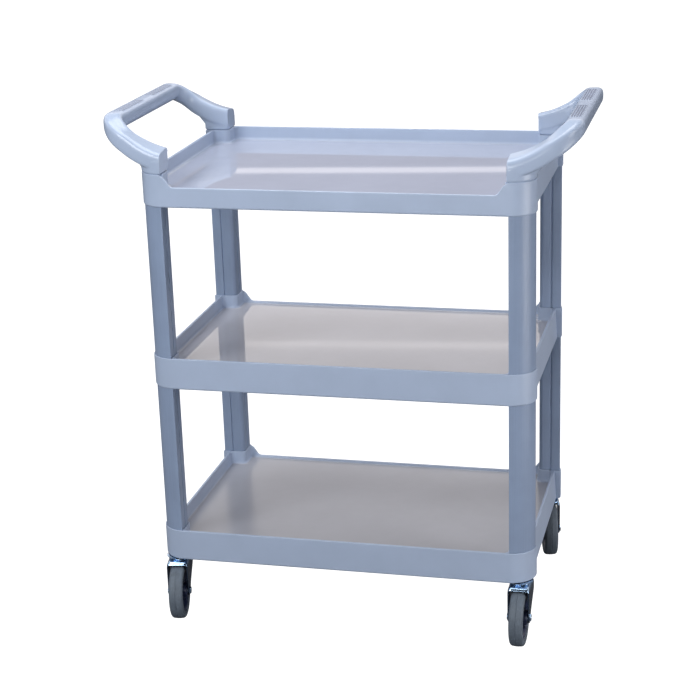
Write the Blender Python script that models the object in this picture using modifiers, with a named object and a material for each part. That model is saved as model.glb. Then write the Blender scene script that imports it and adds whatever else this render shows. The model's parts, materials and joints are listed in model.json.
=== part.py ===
"""Three-shelf plastic food service trolley with two push handles and four swivel casters.

Metres, +Z up. X runs along the trolley, from one push handle to the other, and Y across it. The
origin is on the floor under the middle of the overall box. The wheels trail towards -Y, so the
shelves sit BODY_SHIFT back from the origin. The low lip of the top shelf faces -Y, and the two
lower shelves are the same moulding turned half round, so their low lips face +Y.
"""

import math

import bmesh
import bpy
from mathutils import Matrix, Vector

# Shelf moulding, used three times. Heights are from the moulding's underside.
SHELF_LENGTH = 0.660
SHELF_WIDTH = 0.424
SHELF_HEIGHT = 0.055
SHELF_PITCH = 0.3175
DECK_TOP = 0.030
DECK_THICKNESS = 0.004
LOW_LIP_TOP = 0.0345
LONG_WALL = 0.005
END_WALL = 0.0045
END_INSET_BOTTOM = 0.0085
END_INSET_TOP = 0.0115
LIP_RAMP = 0.018
RIB_THICKNESS = 0.003
RIB_BOTTOM = 0.010
LONG_RIBS = 2
CROSS_RIBS = 4

# Corner blocks and the posts that plug into them.
CORNER_RADIUS = 0.042
BLOCK_REACH = 0.0444
BLOCK_INNER_RADIUS = 0.010
SOCKET_WEB_BOTTOM = 0.025
POST_INSET = 0.002
POST_REACH = 0.0417
POST_INNER_RADIUS = 0.008
POST_WALL = 0.0035
GROOVE_FROM_EDGE = 0.0175
GROOVE_WIDTH = 0.0028
GROOVE_DEPTH = 0.0022
STEM_INSET = 0.025

# Push handles. Heights are from the top of the corner blocks.
BASE_TOP = 0.0300
SPIGOT_DEPTH = 0.020
ARM_START = 0.2870
ARM_START_Z = 0.0215
ARM_WIDTH = 0.0438
ARM_THICKNESS = 0.0335
ARM_CONVERGENCE = math.radians(8.0)
ARM_RISE_EARLY = 0.34
ARM_RISE_POWER = 2.14
BAR_WIDTH = 0.0330
BAR_THICKNESS = 0.0300
BAR_CENTRE_X = 0.3852
BAR_CENTRE_Z = 0.0752
HANDLE_CORNER_RADIUS = 0.040
GUSSET_LEAN = 0.70
GUSSET_TOP = 0.042
SCREW_RADIUS = 0.003
SCREW_HEAD_RADIUS = 0.0055
SCREW_HEAD_HEIGHT = 0.0035
SCREW_GRIP = 0.014

# Casters. Heights are from the floor.
WHEEL_RADIUS = 0.050
TYRE_WIDTH = 0.0245
TYRE_INNER_RADIUS = 0.0375
TREAD_CORNER = 0.0055
HUB_RADIUS = 0.013
HUB_LENGTH = 0.0290
CORE_WEB = 0.007
CORE_RIM = 0.004
TRAIL = 0.020
SHELF_BOTTOM = 0.1125
FORK_THICKNESS = 0.0025
FORK_INSIDE = 0.0320
FORK_CROWN_TOP = 0.1075
FORK_FRONT = -0.0310
FORK_REAR = 0.0245
FORK_FLARE = 0.0010
FORK_BEND = 0.0050
FORK_BOSS = 0.0095
RACE_RADIUS = 0.0215
STEM_RADIUS = 0.0055
STEM_TOP = 0.0210
PIN_RADIUS = 0.0040
PIN_HEAD_RADIUS = 0.0075
PIN_HEAD_HEIGHT = 0.0020
AXLE_RADIUS = 0.0040
SLEEVE_RADIUS = 0.0060
AXLE_HEAD_RADIUS = 0.0068
AXLE_HEAD_HEIGHT = 0.0020
RUNNING_CLEARANCE = 0.0003
BODY_SHIFT = TRAIL
CASTER_YAW = {"front_left": 10.0, "front_right": 0.0, "rear_left": 0.0, "rear_right": 13.0}

GAP = 0.0003
ARC_STEPS = 7
ROUND_STEPS = 16
WHEEL_STEPS = 28
PAST = 0.010

CORNERS = {"front_left": (-1, -1), "front_right": (1, -1), "rear_left": (-1, 1), "rear_right": (1, 1)}


# ---------------------------------------------------------------- scene and materials

def clear_scene():
    for obj in list(bpy.data.objects):
        bpy.data.objects.remove(obj, do_unlink=True)


def make_collection(name):
    collection = bpy.data.collections.new(name)
    bpy.context.scene.collection.children.link(collection)
    return collection


def make_material(name, colour, roughness, metallic=0.0):
    material = bpy.data.materials.new(name)
    material.use_nodes = True
    shader = material.node_tree.nodes["Principled BSDF"]
    shader.inputs["Base Color"].default_value = (*colour, 1.0)
    shader.inputs["Roughness"].default_value = roughness
    shader.inputs["Metallic"].default_value = metallic
    return material


def place(obj, collection, material=None, parent=None):
    collection.objects.link(obj)
    if material:
        obj.data.materials.clear()
        obj.data.materials.append(material)
    if parent:
        obj.parent = parent
    return obj


def as_cutter(obj):
    obj.hide_render = True
    obj.display_type = "WIRE"
    return obj


def smooth_round_faces(mesh, angle=35.0):
    mesh.shade_smooth()
    mesh.set_sharp_from_angle(angle=math.radians(angle))


# ---------------------------------------------------------------- mesh helpers

def flattened(obj):
    """A closed mesh from what the object evaluates to, with caps welded and normals outward."""
    bpy.context.view_layer.update()
    graph = bpy.context.evaluated_depsgraph_get()
    mesh = bpy.data.meshes.new_from_object(obj.evaluated_get(graph))
    mesh.transform(obj.matrix_world)
    work = bmesh.new()
    work.from_mesh(mesh)
    bmesh.ops.remove_doubles(work, verts=work.verts, dist=1e-6)
    bmesh.ops.recalc_face_normals(work, faces=work.faces)
    work.to_mesh(mesh)
    work.free()
    return mesh


def outline_mesh(name, loops, low, high, turn=None):
    """A flat plate: the first loop is its edge and any others are holes. It fills low to high."""
    turn = turn or Matrix()
    if len(loops) == 1:
        work = bmesh.new()
        face = work.faces.new([work.verts.new((a, b, low)) for a, b in loops[0]])
        far_side = bmesh.ops.extrude_face_region(work, geom=[face])["geom"]
        moved = [v for v in far_side if isinstance(v, bmesh.types.BMVert)]
        bmesh.ops.translate(work, vec=(0.0, 0.0, high - low), verts=moved)
        bmesh.ops.transform(work, matrix=turn, verts=work.verts)
        bmesh.ops.recalc_face_normals(work, faces=work.faces)
        mesh = bpy.data.meshes.new(name)
        work.to_mesh(mesh)
        work.free()
        return mesh
    curve = bpy.data.curves.new(name, "CURVE")
    curve.dimensions = "2D"
    curve.fill_mode = "BOTH"
    curve.extrude = (high - low) / 2
    for loop in loops:
        spline = curve.splines.new("POLY")
        spline.points.add(len(loop) - 1)
        for point, (a, b) in zip(spline.points, loop):
            point.co = (a, b, 0.0, 1.0)
        spline.use_cyclic_u = True
    obj = bpy.data.objects.new(name, curve)
    bpy.context.scene.collection.objects.link(obj)
    obj.matrix_world = turn @ Matrix.Translation((0, 0, (low + high) / 2))
    mesh = flattened(obj)
    mesh.name = name
    bpy.data.objects.remove(obj, do_unlink=True)
    bpy.data.curves.remove(curve)
    return mesh


def combine(name, base_mesh, steps):
    """Boolean the (operation, mesh) steps onto the base one after another; returns the new mesh."""
    base = place(bpy.data.objects.new(name, base_mesh), cutters)
    tools = []
    for index, (operation, mesh) in enumerate(steps):
        tool = place(bpy.data.objects.new(f"{name}_tool_{index}", mesh), cutters)
        tools.append(as_cutter(tool))
        modifier = base.modifiers.new(f"step_{index}", "BOOLEAN")
        modifier.operation = operation
        modifier.solver = "EXACT"
        modifier.object = tool
    result = flattened(base)
    result.name = name
    for obj in [base, *tools]:
        bpy.data.objects.remove(obj, do_unlink=True)
    return result


def box_mesh(name, low, high):
    low, high = Vector(low), Vector(high)
    work = bmesh.new()
    bmesh.ops.create_cube(work, size=1.0)
    bmesh.ops.scale(work, vec=high - low, verts=work.verts)
    bmesh.ops.translate(work, vec=(low + high) / 2, verts=work.verts)
    mesh = bpy.data.meshes.new(name)
    work.to_mesh(mesh)
    work.free()
    return mesh


def cylinder_mesh(name, radius, low, high, at=(0.0, 0.0), steps=ROUND_STEPS):
    work = bmesh.new()
    bmesh.ops.create_cone(
        work, cap_ends=True, segments=steps, radius1=radius, radius2=radius, depth=high - low
    )
    bmesh.ops.translate(work, vec=(at[0], at[1], (low + high) / 2), verts=work.verts)
    mesh = bpy.data.meshes.new(name)
    work.to_mesh(mesh)
    work.free()
    return mesh


def turned(name, profile, collection, material, steps=ROUND_STEPS, closed=False):
    """A turned piece about local Z. The (radius, height) profile runs down its outer side."""
    mesh = bpy.data.meshes.new(name)
    edges = [(i, i + 1) for i in range(len(profile) - 1)]
    if closed:
        edges.append((len(profile) - 1, 0))
    mesh.from_pydata([(r, 0.0, z) for r, z in profile], edges, [])
    obj = place(bpy.data.objects.new(name, mesh), collection, material)
    screw = obj.modifiers.new("turn", "SCREW")
    screw.axis = "Z"
    screw.angle = math.tau
    screw.steps = steps
    screw.render_steps = steps
    screw.use_merge_vertices = True
    screw.merge_threshold = 0.00001
    screw.use_smooth_shade = True
    return obj


def arc(centre, radius, start, end, steps):
    """Points on an arc, in degrees, both ends included."""
    points = []
    for i in range(steps + 1):
        angle = math.radians(start + (end - start) * i / steps)
        points.append((centre[0] + radius * math.cos(angle), centre[1] + radius * math.sin(angle)))
    return points


# ---------------------------------------------------------------- corner outlines

def quarter_round(inset, reach, inner_radius, grooved=False, steps=ARC_STEPS):
    """Outline of a corner block, in distances in from the end and from the side of the shelf."""
    centre = (CORNER_RADIUS, CORNER_RADIUS)
    points = arc(centre, CORNER_RADIUS - inset, 180, 270, steps)
    groove = inset + GROOVE_FROM_EDGE
    half = GROOVE_WIDTH / 2
    notch = [(0.0, groove - half), (-GROOVE_DEPTH, groove - half * 0.6)]
    notch += [(-GROOVE_DEPTH, groove + half * 0.6), (0.0, groove + half)]
    if reach > CORNER_RADIUS:
        points.append((reach, inset))
    else:
        points = [p for p in points if p[0] < reach - 0.0002 and p[1] < reach - 0.0002]
        edge = CORNER_RADIUS - math.sqrt(
            (CORNER_RADIUS - inset) ** 2 - (CORNER_RADIUS - reach) ** 2
        )
        points = [(edge, reach), *points, (reach, edge)]
    if grooved:
        points += [(reach + depth, along) for depth, along in notch]
    inner = reach - inner_radius
    points += arc((inner, inner), inner_radius, 0, 90, max(3, steps // 2))
    if grooved:
        points += [(along, reach + depth) for depth, along in reversed(notch)]
    if reach > CORNER_RADIUS:
        points.append((inset, reach))
    return points


def in_corner(points, corner):
    """Corner distances turned into x, y for one of the four corners."""
    sx, sy = CORNERS[corner]
    return [(sx * (SHELF_LENGTH / 2 - u), sy * (SHELF_WIDTH / 2 - v)) for u, v in points]


def stem_axis(corner):
    sx, sy = CORNERS[corner]
    return sx * (SHELF_LENGTH / 2 - STEM_INSET), sy * (SHELF_WIDTH / 2 - STEM_INSET)


# ---------------------------------------------------------------- shelf

def rounded_rectangle(length, width, radius, steps):
    points = []
    for sx, sy, start in ((1, 1, 0), (-1, 1, 90), (-1, -1, 180), (1, -1, 270)):
        centre = (sx * (length / 2 - radius), sy * (width / 2 - radius))
        points += arc(centre, radius, start, start + 90, steps)
    return points


def inside_outline(end_wall_inner):
    """The space between the four walls, stepping round the corner blocks."""
    half_length = SHELF_LENGTH / 2 - end_wall_inner
    half_width = SHELF_WIDTH / 2 - LONG_WALL
    block_x = SHELF_LENGTH / 2 - BLOCK_REACH
    block_y = SHELF_WIDTH / 2 - BLOCK_REACH
    radius = BLOCK_INNER_RADIUS
    quarter = [(half_length, 0.0), (half_length, block_y)]
    quarter += reversed(arc((block_x + radius, block_y + radius), radius, 180, 270, 5))
    quarter += [(block_x, half_width), (0.0, half_width)]
    points = []
    for sx, sy in ((1, 1), (-1, 1), (-1, -1), (1, -1)):
        side = [(sx * x, sy * y) for x, y in quarter]
        points += side if sx * sy > 0 else side[::-1]
    return [p for i, p in enumerate(points) if p != points[i - 1]]


def end_notch(side):
    """What is cut from one end wall's outer face: a wedge, because that face leans in upwards."""
    outer = SHELF_LENGTH / 2
    profile = [
        (outer + PAST, -PAST),
        (outer + PAST, SHELF_HEIGHT + PAST),
        (outer - END_INSET_TOP, SHELF_HEIGHT + PAST),
        (outer - END_INSET_TOP, SHELF_HEIGHT),
        (outer - END_INSET_BOTTOM, 0.0),
        (outer - END_INSET_BOTTOM, -PAST),
    ]
    half = SHELF_WIDTH / 2 - BLOCK_REACH
    upright = Matrix.Rotation(math.pi / 2, 4, "X")
    return outline_mesh("notch", [[(side * x, z) for x, z in profile]], -half, half, upright)


def low_lip_cut():
    """Lowers the -Y wall between the corner blocks, with a ramp at each end."""
    far = SHELF_LENGTH / 2 - BLOCK_REACH
    near = far - LIP_RAMP
    profile = [
        (-far - 0.0030, SHELF_HEIGHT + PAST),
        (-far - 0.0025, SHELF_HEIGHT - 0.0003),
        (-far + LIP_RAMP * 0.25, SHELF_HEIGHT - 0.0050),
        (-near - LIP_RAMP * 0.25, LOW_LIP_TOP + 0.0025),
        (-near, LOW_LIP_TOP),
    ]
    profile += [(-x, z) for x, z in reversed(profile)]
    upright = Matrix.Rotation(math.pi / 2, 4, "X")
    low, high = SHELF_WIDTH / 2 - LONG_WALL - 0.002, SHELF_WIDTH / 2 + PAST
    return outline_mesh("low_lip", [profile], low, high, upright)


def rib_meshes():
    """The rib grid that stiffens the deck from below, running into the walls."""
    top = DECK_TOP - DECK_THICKNESS / 2
    half_x = SHELF_LENGTH / 2 - END_INSET_TOP - END_WALL / 2
    half_y = SHELF_WIDTH / 2 - LONG_WALL / 2
    half = RIB_THICKNESS / 2
    meshes = []
    for i in range(LONG_RIBS):
        y = -half_y + 2 * half_y * (i + 1) / (LONG_RIBS + 1)
        meshes.append(box_mesh("rib", (-half_x, y - half, RIB_BOTTOM), (half_x, y + half, top)))
    for i in range(CROSS_RIBS):
        x = -half_x + 2 * half_x * (i + 1) / (CROSS_RIBS + 1)
        low = (x - half, -half_y, RIB_BOTTOM + 0.0004)
        meshes.append(box_mesh("rib", low, (x + half, half_y, top + 0.0004)))
    return meshes


def shelf_mesh():
    """The shelf moulding with its low lip towards -Y, standing on z = 0."""
    outline = rounded_rectangle(SHELF_LENGTH, SHELF_WIDTH, CORNER_RADIUS, ARC_STEPS)
    body = outline_mesh("shelf_blank", [outline], 0.0, SHELF_HEIGHT)
    inner = END_INSET_TOP + END_WALL
    steps = [
        ("DIFFERENCE", outline_mesh("tray", [inside_outline(inner)], DECK_TOP, SHELF_HEIGHT + PAST)),
        (
            "DIFFERENCE",
            outline_mesh("under", [inside_outline(inner)], -PAST, DECK_TOP - DECK_THICKNESS),
        ),
        ("DIFFERENCE", end_notch(1)),
        ("DIFFERENCE", end_notch(-1)),
        ("DIFFERENCE", low_lip_cut()),
    ]
    steps += [("UNION", mesh) for mesh in rib_meshes()]
    socket = quarter_round(POST_INSET - GAP, POST_REACH + GAP, POST_INNER_RADIUS)
    for corner in CORNERS:
        hole = in_corner(socket, corner)
        steps.append(("DIFFERENCE", outline_mesh("socket", [hole], -PAST, SOCKET_WEB_BOTTOM)))
        steps.append(("DIFFERENCE", outline_mesh("socket", [hole], DECK_TOP, SHELF_HEIGHT + PAST)))
        steps.append(
            (
                "DIFFERENCE",
                cylinder_mesh(
                    "screw_hole", SCREW_RADIUS + GAP, 0.015, 0.040, stem_axis(corner), 12
                ),
            )
        )
    mesh = combine("shelf_moulding", body, steps)
    smooth_round_faces(mesh)
    return mesh


def build_shelves(trolley, material):
    mesh = shelf_mesh()
    for level, name in enumerate(("bottom_shelf", "middle_shelf", "top_shelf")):
        shelf = place(bpy.data.objects.new(name, mesh), trolley, material)
        shelf.location = (0.0, 0.0, SHELF_BOTTOM + level * SHELF_PITCH)
        shelf.rotation_euler = (0.0, 0.0, 0.0 if name == "top_shelf" else math.pi)


# ---------------------------------------------------------------- posts

def build_posts(trolley, material):
    """Eight hollow posts. Each stands on the web in a lower shelf and stops under the next web."""
    outer = quarter_round(POST_INSET, POST_REACH, POST_INNER_RADIUS, grooved=True)
    inner = quarter_round(
        POST_INSET + POST_WALL, POST_REACH - POST_WALL, POST_INNER_RADIUS - POST_WALL / 2, steps=6
    )
    for level, word in enumerate(("lower", "upper")):
        shelf_z = SHELF_BOTTOM + level * SHELF_PITCH
        low = shelf_z + DECK_TOP + GAP
        high = shelf_z + SHELF_PITCH + SOCKET_WEB_BOTTOM - GAP
        for corner in CORNERS:
            loops = [in_corner(outer, corner), in_corner(inner, corner)]
            mesh = outline_mesh(f"{corner}_{word}_post", loops, low, high)
            smooth_round_faces(mesh)
            place(bpy.data.objects.new(mesh.name, mesh), trolley, material)


# ---------------------------------------------------------------- push handles

def rounded_section(width, thickness, power, count):
    """A superellipse, from an oval at power 2 towards a rectangle as the power grows."""
    points = []
    for i in range(count):
        angle = math.tau * (i + 0.5) / count
        c, s = math.cos(angle), math.sin(angle)
        a = math.copysign(abs(c) ** (2 / power), c)
        b = math.copysign(abs(s) ** (2 / power), s)
        points.append((a * width / 2, b * thickness / 2))
    return points


def arm_height(x):
    """Height of the arm's middle line above the corner blocks, rising towards the bar."""
    t = (x - ARM_START) / (BAR_CENTRE_X - ARM_START)
    rise = ARM_RISE_EARLY * t + (1 - ARM_RISE_EARLY) * t ** ARM_RISE_POWER
    return ARM_START_Z + (BAR_CENTRE_Z - ARM_START_Z) * rise


def blend(a, b, t):
    t = min(1.0, max(0.0, t))
    return a + (b - a) * t * t * (3 - 2 * t)


def handle_stations(arm_steps=6, corner_steps=6):
    """(point, direction) pairs along the middle line, from the base to the middle of the bar."""
    start_y = SHELF_WIDTH / 2 - ARM_WIDTH / 2 - GAP
    lean_in = ARM_CONVERGENCE
    radius = HANDLE_CORNER_RADIUS
    turn_x = BAR_CENTRE_X - radius * (1 - math.sin(lean_in))
    turn_y = start_y - (turn_x - ARM_START) * math.tan(lean_in)
    plan = []
    for i in range(arm_steps):
        x = ARM_START + (turn_x - ARM_START) * i / arm_steps
        plan.append((x, start_y - (x - ARM_START) * math.tan(lean_in)))
    for i in range(corner_steps + 1):
        heading = lean_in + (math.pi / 2 - lean_in) * i / corner_steps
        x = turn_x + radius * (math.sin(heading) - math.sin(lean_in))
        plan.append((x, turn_y - radius * (math.cos(lean_in) - math.cos(heading))))
    plan += [(BAR_CENTRE_X, plan[-1][1] * 0.5), (BAR_CENTRE_X, 0.0)]
    points = [Vector((x, y, arm_height(x))) for x, y in plan]
    stations = []
    for i, point in enumerate(points):
        direction = (points[min(len(points) - 1, i + 1)] - points[max(0, i - 1)]).normalized()
        if i == 0:
            direction = Vector((1.0, 0.0, 0.0))
        if i >= len(points) - 2:
            direction = Vector((0.0, -1.0, 0.0))
        stations.append((point, direction))
    return stations


def handle_loop_mesh(count=14):
    """Both arms and the bar as one loft from a squarish arm section to an oval bar section."""
    stations = handle_stations()
    length = [0.0]
    for (a, _), (b, _) in zip(stations, stations[1:]):
        length.append(length[-1] + (b - a).length)
    work = bmesh.new()
    rings = []
    for (point, direction), along in zip(stations, length):
        t = min(1.0, along / length[-3])
        width = blend(ARM_WIDTH, BAR_WIDTH, t)
        thickness = blend(ARM_THICKNESS, BAR_THICKNESS, t)
        power = 3.6 + (2.5 - 3.6) * t
        up = Vector((0.0, 0.0, 1.0))
        up = (up - up.dot(direction) * direction).normalized()
        across = direction.cross(up)
        ring = []
        for a, b in rounded_section(width, thickness, power, count):
            ring.append(work.verts.new(point + across * a + up * b))
        rings.append(ring)
    for first, second in zip(rings, rings[1:]):
        for i in range(count):
            j = (i + 1) % count
            work.faces.new((first[i], first[j], second[j], second[i]))
    work.faces.new(reversed(rings[0]))
    mesh = bpy.data.meshes.new("handle_loop")
    work.to_mesh(mesh)
    work.free()
    half = place(bpy.data.objects.new("handle_half", mesh), cutters)
    mirror = half.modifiers.new("mirror", "MIRROR")
    mirror.use_axis = (False, True, False)
    mirror.merge_threshold = 0.00001
    whole = flattened(half)
    bpy.data.objects.remove(half, do_unlink=True)
    return whole


def handle_mesh():
    """The handle at the +X end, with its base blocks on z = 0 and its spigots below."""
    steps = []
    lean = Matrix(((1, 0, GUSSET_LEAN, 0), (0, 1, 0, 0), (0, 0, 1, 0), (0, 0, 0, 1)))
    block = quarter_round(0.0, BLOCK_REACH, BLOCK_INNER_RADIUS)
    gusset = quarter_round(0.004, 0.036, 0.006, steps=5)
    spigot = quarter_round(POST_INSET, POST_REACH, POST_INNER_RADIUS)
    for corner in ("front_right", "rear_right"):
        steps.append(("UNION", outline_mesh("base", [in_corner(block, corner)], 0.0, BASE_TOP)))
        web = outline_mesh("gusset", [in_corner(gusset, corner)], 0.0015, GUSSET_TOP, lean)
        steps.append(("UNION", web))
        steps.append(
            ("UNION", outline_mesh("spigot", [in_corner(spigot, corner)], -SPIGOT_DEPTH, 0.004))
        )
        steps.append(
            (
                "DIFFERENCE",
                cylinder_mesh(
                    "screw_hole",
                    SCREW_RADIUS + GAP,
                    -SPIGOT_DEPTH - PAST,
                    SCREW_GRIP - SPIGOT_DEPTH + 0.002,
                    stem_axis(corner),
                    12,
                ),
            )
        )
    return combine("handle", handle_loop_mesh(), steps)


def build_handles(trolley, material):
    mesh = handle_mesh()
    smooth_round_faces(mesh, 40.0)
    top = SHELF_BOTTOM + 2 * SHELF_PITCH + SHELF_HEIGHT + GAP
    for name, turn in (("right_handle", 0.0), ("left_handle", math.pi)):
        handle = place(bpy.data.objects.new(name, mesh), trolley, material)
        handle.location = (0.0, 0.0, top)
        handle.rotation_euler = (0.0, 0.0, turn)


def build_handle_screws(trolley, material):
    """One screw through the web of each top corner, up into the handle's spigot."""
    web = SHELF_BOTTOM + 2 * SHELF_PITCH + SOCKET_WEB_BOTTOM - GAP
    reach = SHELF_HEIGHT - SOCKET_WEB_BOTTOM - SPIGOT_DEPTH + SCREW_GRIP
    profile = [
        (0.0, reach),
        (SCREW_RADIUS * 0.7, reach),
        (SCREW_RADIUS, reach - 0.001),
        (SCREW_RADIUS, 0.0),
        (SCREW_HEAD_RADIUS, 0.0),
        (SCREW_HEAD_RADIUS, -SCREW_HEAD_HEIGHT * 0.6),
        (SCREW_HEAD_RADIUS * 0.6, -SCREW_HEAD_HEIGHT),
        (0.0, -SCREW_HEAD_HEIGHT),
    ]
    for corner in CORNERS:
        screw = turned(f"{corner}_handle_screw", profile, trolley, material, steps=12)
        screw.location = (*stem_axis(corner), web)


# ---------------------------------------------------------------- casters

def leg_bottom(y):
    """Lower edge of a fork leg: a round boss at the axle, then a taper up to the rear."""
    from_axle = y + TRAIL
    if from_axle <= FORK_BOSS * 0.94:
        inside = max(0.0, FORK_BOSS ** 2 - from_axle ** 2)
        return WHEEL_RADIUS - math.sqrt(inside)
    t = (from_axle - FORK_BOSS * 0.94) / (FORK_REAR + TRAIL - FORK_BOSS * 0.94)
    low = WHEEL_RADIUS - FORK_BOSS * 0.34
    return low + (0.086 - low) * t ** 0.85


def fork_mesh():
    """One pressed sheet: a flat crown, a bend each side, and two legs that flare at the rear."""
    top = FORK_CROWN_TOP - FORK_THICKNESS / 2
    inner = FORK_INSIDE / 2 + FORK_THICKNESS / 2
    taper_start = FORK_BOSS * 1.1 - TRAIL
    lengths = [FORK_FRONT]
    lengths += [FORK_BOSS * k - TRAIL for k in (-1.0, -0.7, 0.0, 0.7, 1.1)]
    lengths += [taper_start + (FORK_REAR - taper_start) * k for k in (0.35, 0.7, 1.0)]
    work = bmesh.new()
    rows = []
    for y in lengths:
        t = (y - taper_start) / (FORK_REAR - taper_start)
        side = inner + FORK_FLARE * blend(0.0, 1.0, t)
        dip = 0.0042 * max(0.0, 1.0 - (y - FORK_FRONT) / 0.0055) ** 2
        dip += 0.0030 * max(0.0, 1.0 - (FORK_REAR - y) / 0.0065) ** 2
        bottom = leg_bottom(y)
        centre = (side - FORK_BEND, top - dip - FORK_BEND)
        half = [(0.0, top - dip)]
        half += reversed(arc(centre, FORK_BEND, 0, 90, 2))
        half.append((side, (centre[1] + bottom) / 2))
        half.append((side, bottom))
        row = [(-a, b) for a, b in reversed(half[1:])] + half
        rows.append([work.verts.new((a, y, b)) for a, b in row])
    for first, second in zip(rows, rows[1:]):
        for i in range(len(first) - 1):
            work.faces.new((first[i], first[i + 1], second[i + 1], second[i]))
    mesh = bpy.data.meshes.new("fork_sheet")
    work.to_mesh(mesh)
    work.free()
    sheet = place(bpy.data.objects.new("fork_sheet", mesh), cutters)
    solidify = sheet.modifiers.new("thickness", "SOLIDIFY")
    solidify.thickness = FORK_THICKNESS
    solidify.offset = 0.0
    solidify.use_even_offset = True
    solid = flattened(sheet)
    bpy.data.objects.remove(sheet, do_unlink=True)
    pin_hole = cylinder_mesh("pin_hole", PIN_RADIUS + RUNNING_CLEARANCE, 0.09, 0.12, steps=ROUND_STEPS)
    axle_hole = cylinder_mesh("axle_hole", AXLE_RADIUS + GAP, -0.05, 0.05)
    axle_hole.transform(
        Matrix.Translation((0.0, -TRAIL, WHEEL_RADIUS)) @ Matrix.Rotation(math.pi / 2, 4, "Y")
    )
    result = combine("caster_fork", solid, [("DIFFERENCE", pin_hole), ("DIFFERENCE", axle_hole)])
    smooth_round_faces(result)
    return result


def tyre_profile():
    half = TYRE_WIDTH / 2
    outer, inner = WHEEL_RADIUS, TYRE_INNER_RADIUS
    corner = TREAD_CORNER
    points = [(inner, half - 0.002), (inner + 0.002, half)]
    shoulder = arc((outer - corner - 0.0006, half - corner), corner, 90, 8, 3)
    points += shoulder
    points.append((outer, 0.0))
    points += [(r, -z) for r, z in reversed(points)][1:]
    return points


def core_profile():
    """Hub, web and rim of the wheel, with the bore that runs on the axle sleeve."""
    half, hub_half, web_half = TYRE_WIDTH / 2, HUB_LENGTH / 2, CORE_WEB / 2
    outer = TYRE_INNER_RADIUS - GAP
    rim = outer - CORE_RIM
    bore = SLEEVE_RADIUS + RUNNING_CLEARANCE
    upper = [
        (bore, hub_half),
        (HUB_RADIUS, hub_half),
        (HUB_RADIUS + 0.001, web_half),
        (rim - 0.002, web_half),
        (rim, half - 0.0025),
        (outer, half - 0.0025),
    ]
    return upper + [(r, -z) for r, z in reversed(upper)]


def ring_profile(inner, outer, low, high):
    return [(inner, high), (outer, high), (outer, low), (inner, low)]


def stem_profile():
    """Stem, race plate, king pin and pin head, from the top down, from the floor up in height."""
    pin_low = FORK_CROWN_TOP - FORK_THICKNESS - GAP
    plate_low = FORK_CROWN_TOP + 0.0024
    return [
        (0.0, SHELF_BOTTOM + STEM_TOP),
        (STEM_RADIUS * 0.7, SHELF_BOTTOM + STEM_TOP),
        (STEM_RADIUS, SHELF_BOTTOM + STEM_TOP - 0.0015),
        (STEM_RADIUS, SHELF_BOTTOM - 0.0004),
        (RACE_RADIUS - 0.0040, SHELF_BOTTOM - 0.0004),
        (RACE_RADIUS, plate_low + 0.0009),
        (RACE_RADIUS, plate_low),
        (PIN_RADIUS, plate_low),
        (PIN_RADIUS, pin_low),
        (PIN_HEAD_RADIUS, pin_low),
        (PIN_HEAD_RADIUS, pin_low - PIN_HEAD_HEIGHT * 0.5),
        (PIN_HEAD_RADIUS * 0.6, pin_low - PIN_HEAD_HEIGHT),
        (0.0, pin_low - PIN_HEAD_HEIGHT),
    ]


def bolt_profile():
    """Axle bolt from its threaded end down to its domed head, centred on the wheel."""
    face = FORK_INSIDE / 2 + FORK_THICKNESS + GAP
    end = face + AXLE_HEAD_HEIGHT + 0.0004
    return [
        (0.0, end),
        (AXLE_RADIUS * 0.75, end),
        (AXLE_RADIUS, end - 0.0008),
        (AXLE_RADIUS, -face),
        (AXLE_HEAD_RADIUS, -face),
        (AXLE_HEAD_RADIUS, -face - AXLE_HEAD_HEIGHT * 0.45),
        (AXLE_HEAD_RADIUS * 0.75, -face - AXLE_HEAD_HEIGHT * 0.85),
        (0.0, -face - AXLE_HEAD_HEIGHT),
    ]


def nut_mesh():
    face = FORK_INSIDE / 2 + FORK_THICKNESS + GAP
    hexagon = arc((0.0, 0.0), AXLE_HEAD_RADIUS, 0, 300, 5)
    hole = arc((0.0, 0.0), AXLE_RADIUS + GAP, 0, 360 - 360 / 16, 15)
    return outline_mesh("axle_nut", [hexagon, hole], face, face + AXLE_HEAD_HEIGHT)


def socket_plug_mesh(corner):
    """The plastic insert in the bottom shelf's corner that grips the caster stem."""
    outline = quarter_round(POST_INSET, POST_REACH, POST_INNER_RADIUS)
    x, y = stem_axis(corner)
    bore = arc((x, y), STEM_RADIUS + GAP, 0, 360 - 360 / 16, 15)
    low = SHELF_BOTTOM + GAP
    high = SHELF_BOTTOM + SOCKET_WEB_BOTTOM - 2 * GAP
    return outline_mesh(f"{corner}_stem_socket", [in_corner(outline, corner), bore], low, high)


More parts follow.
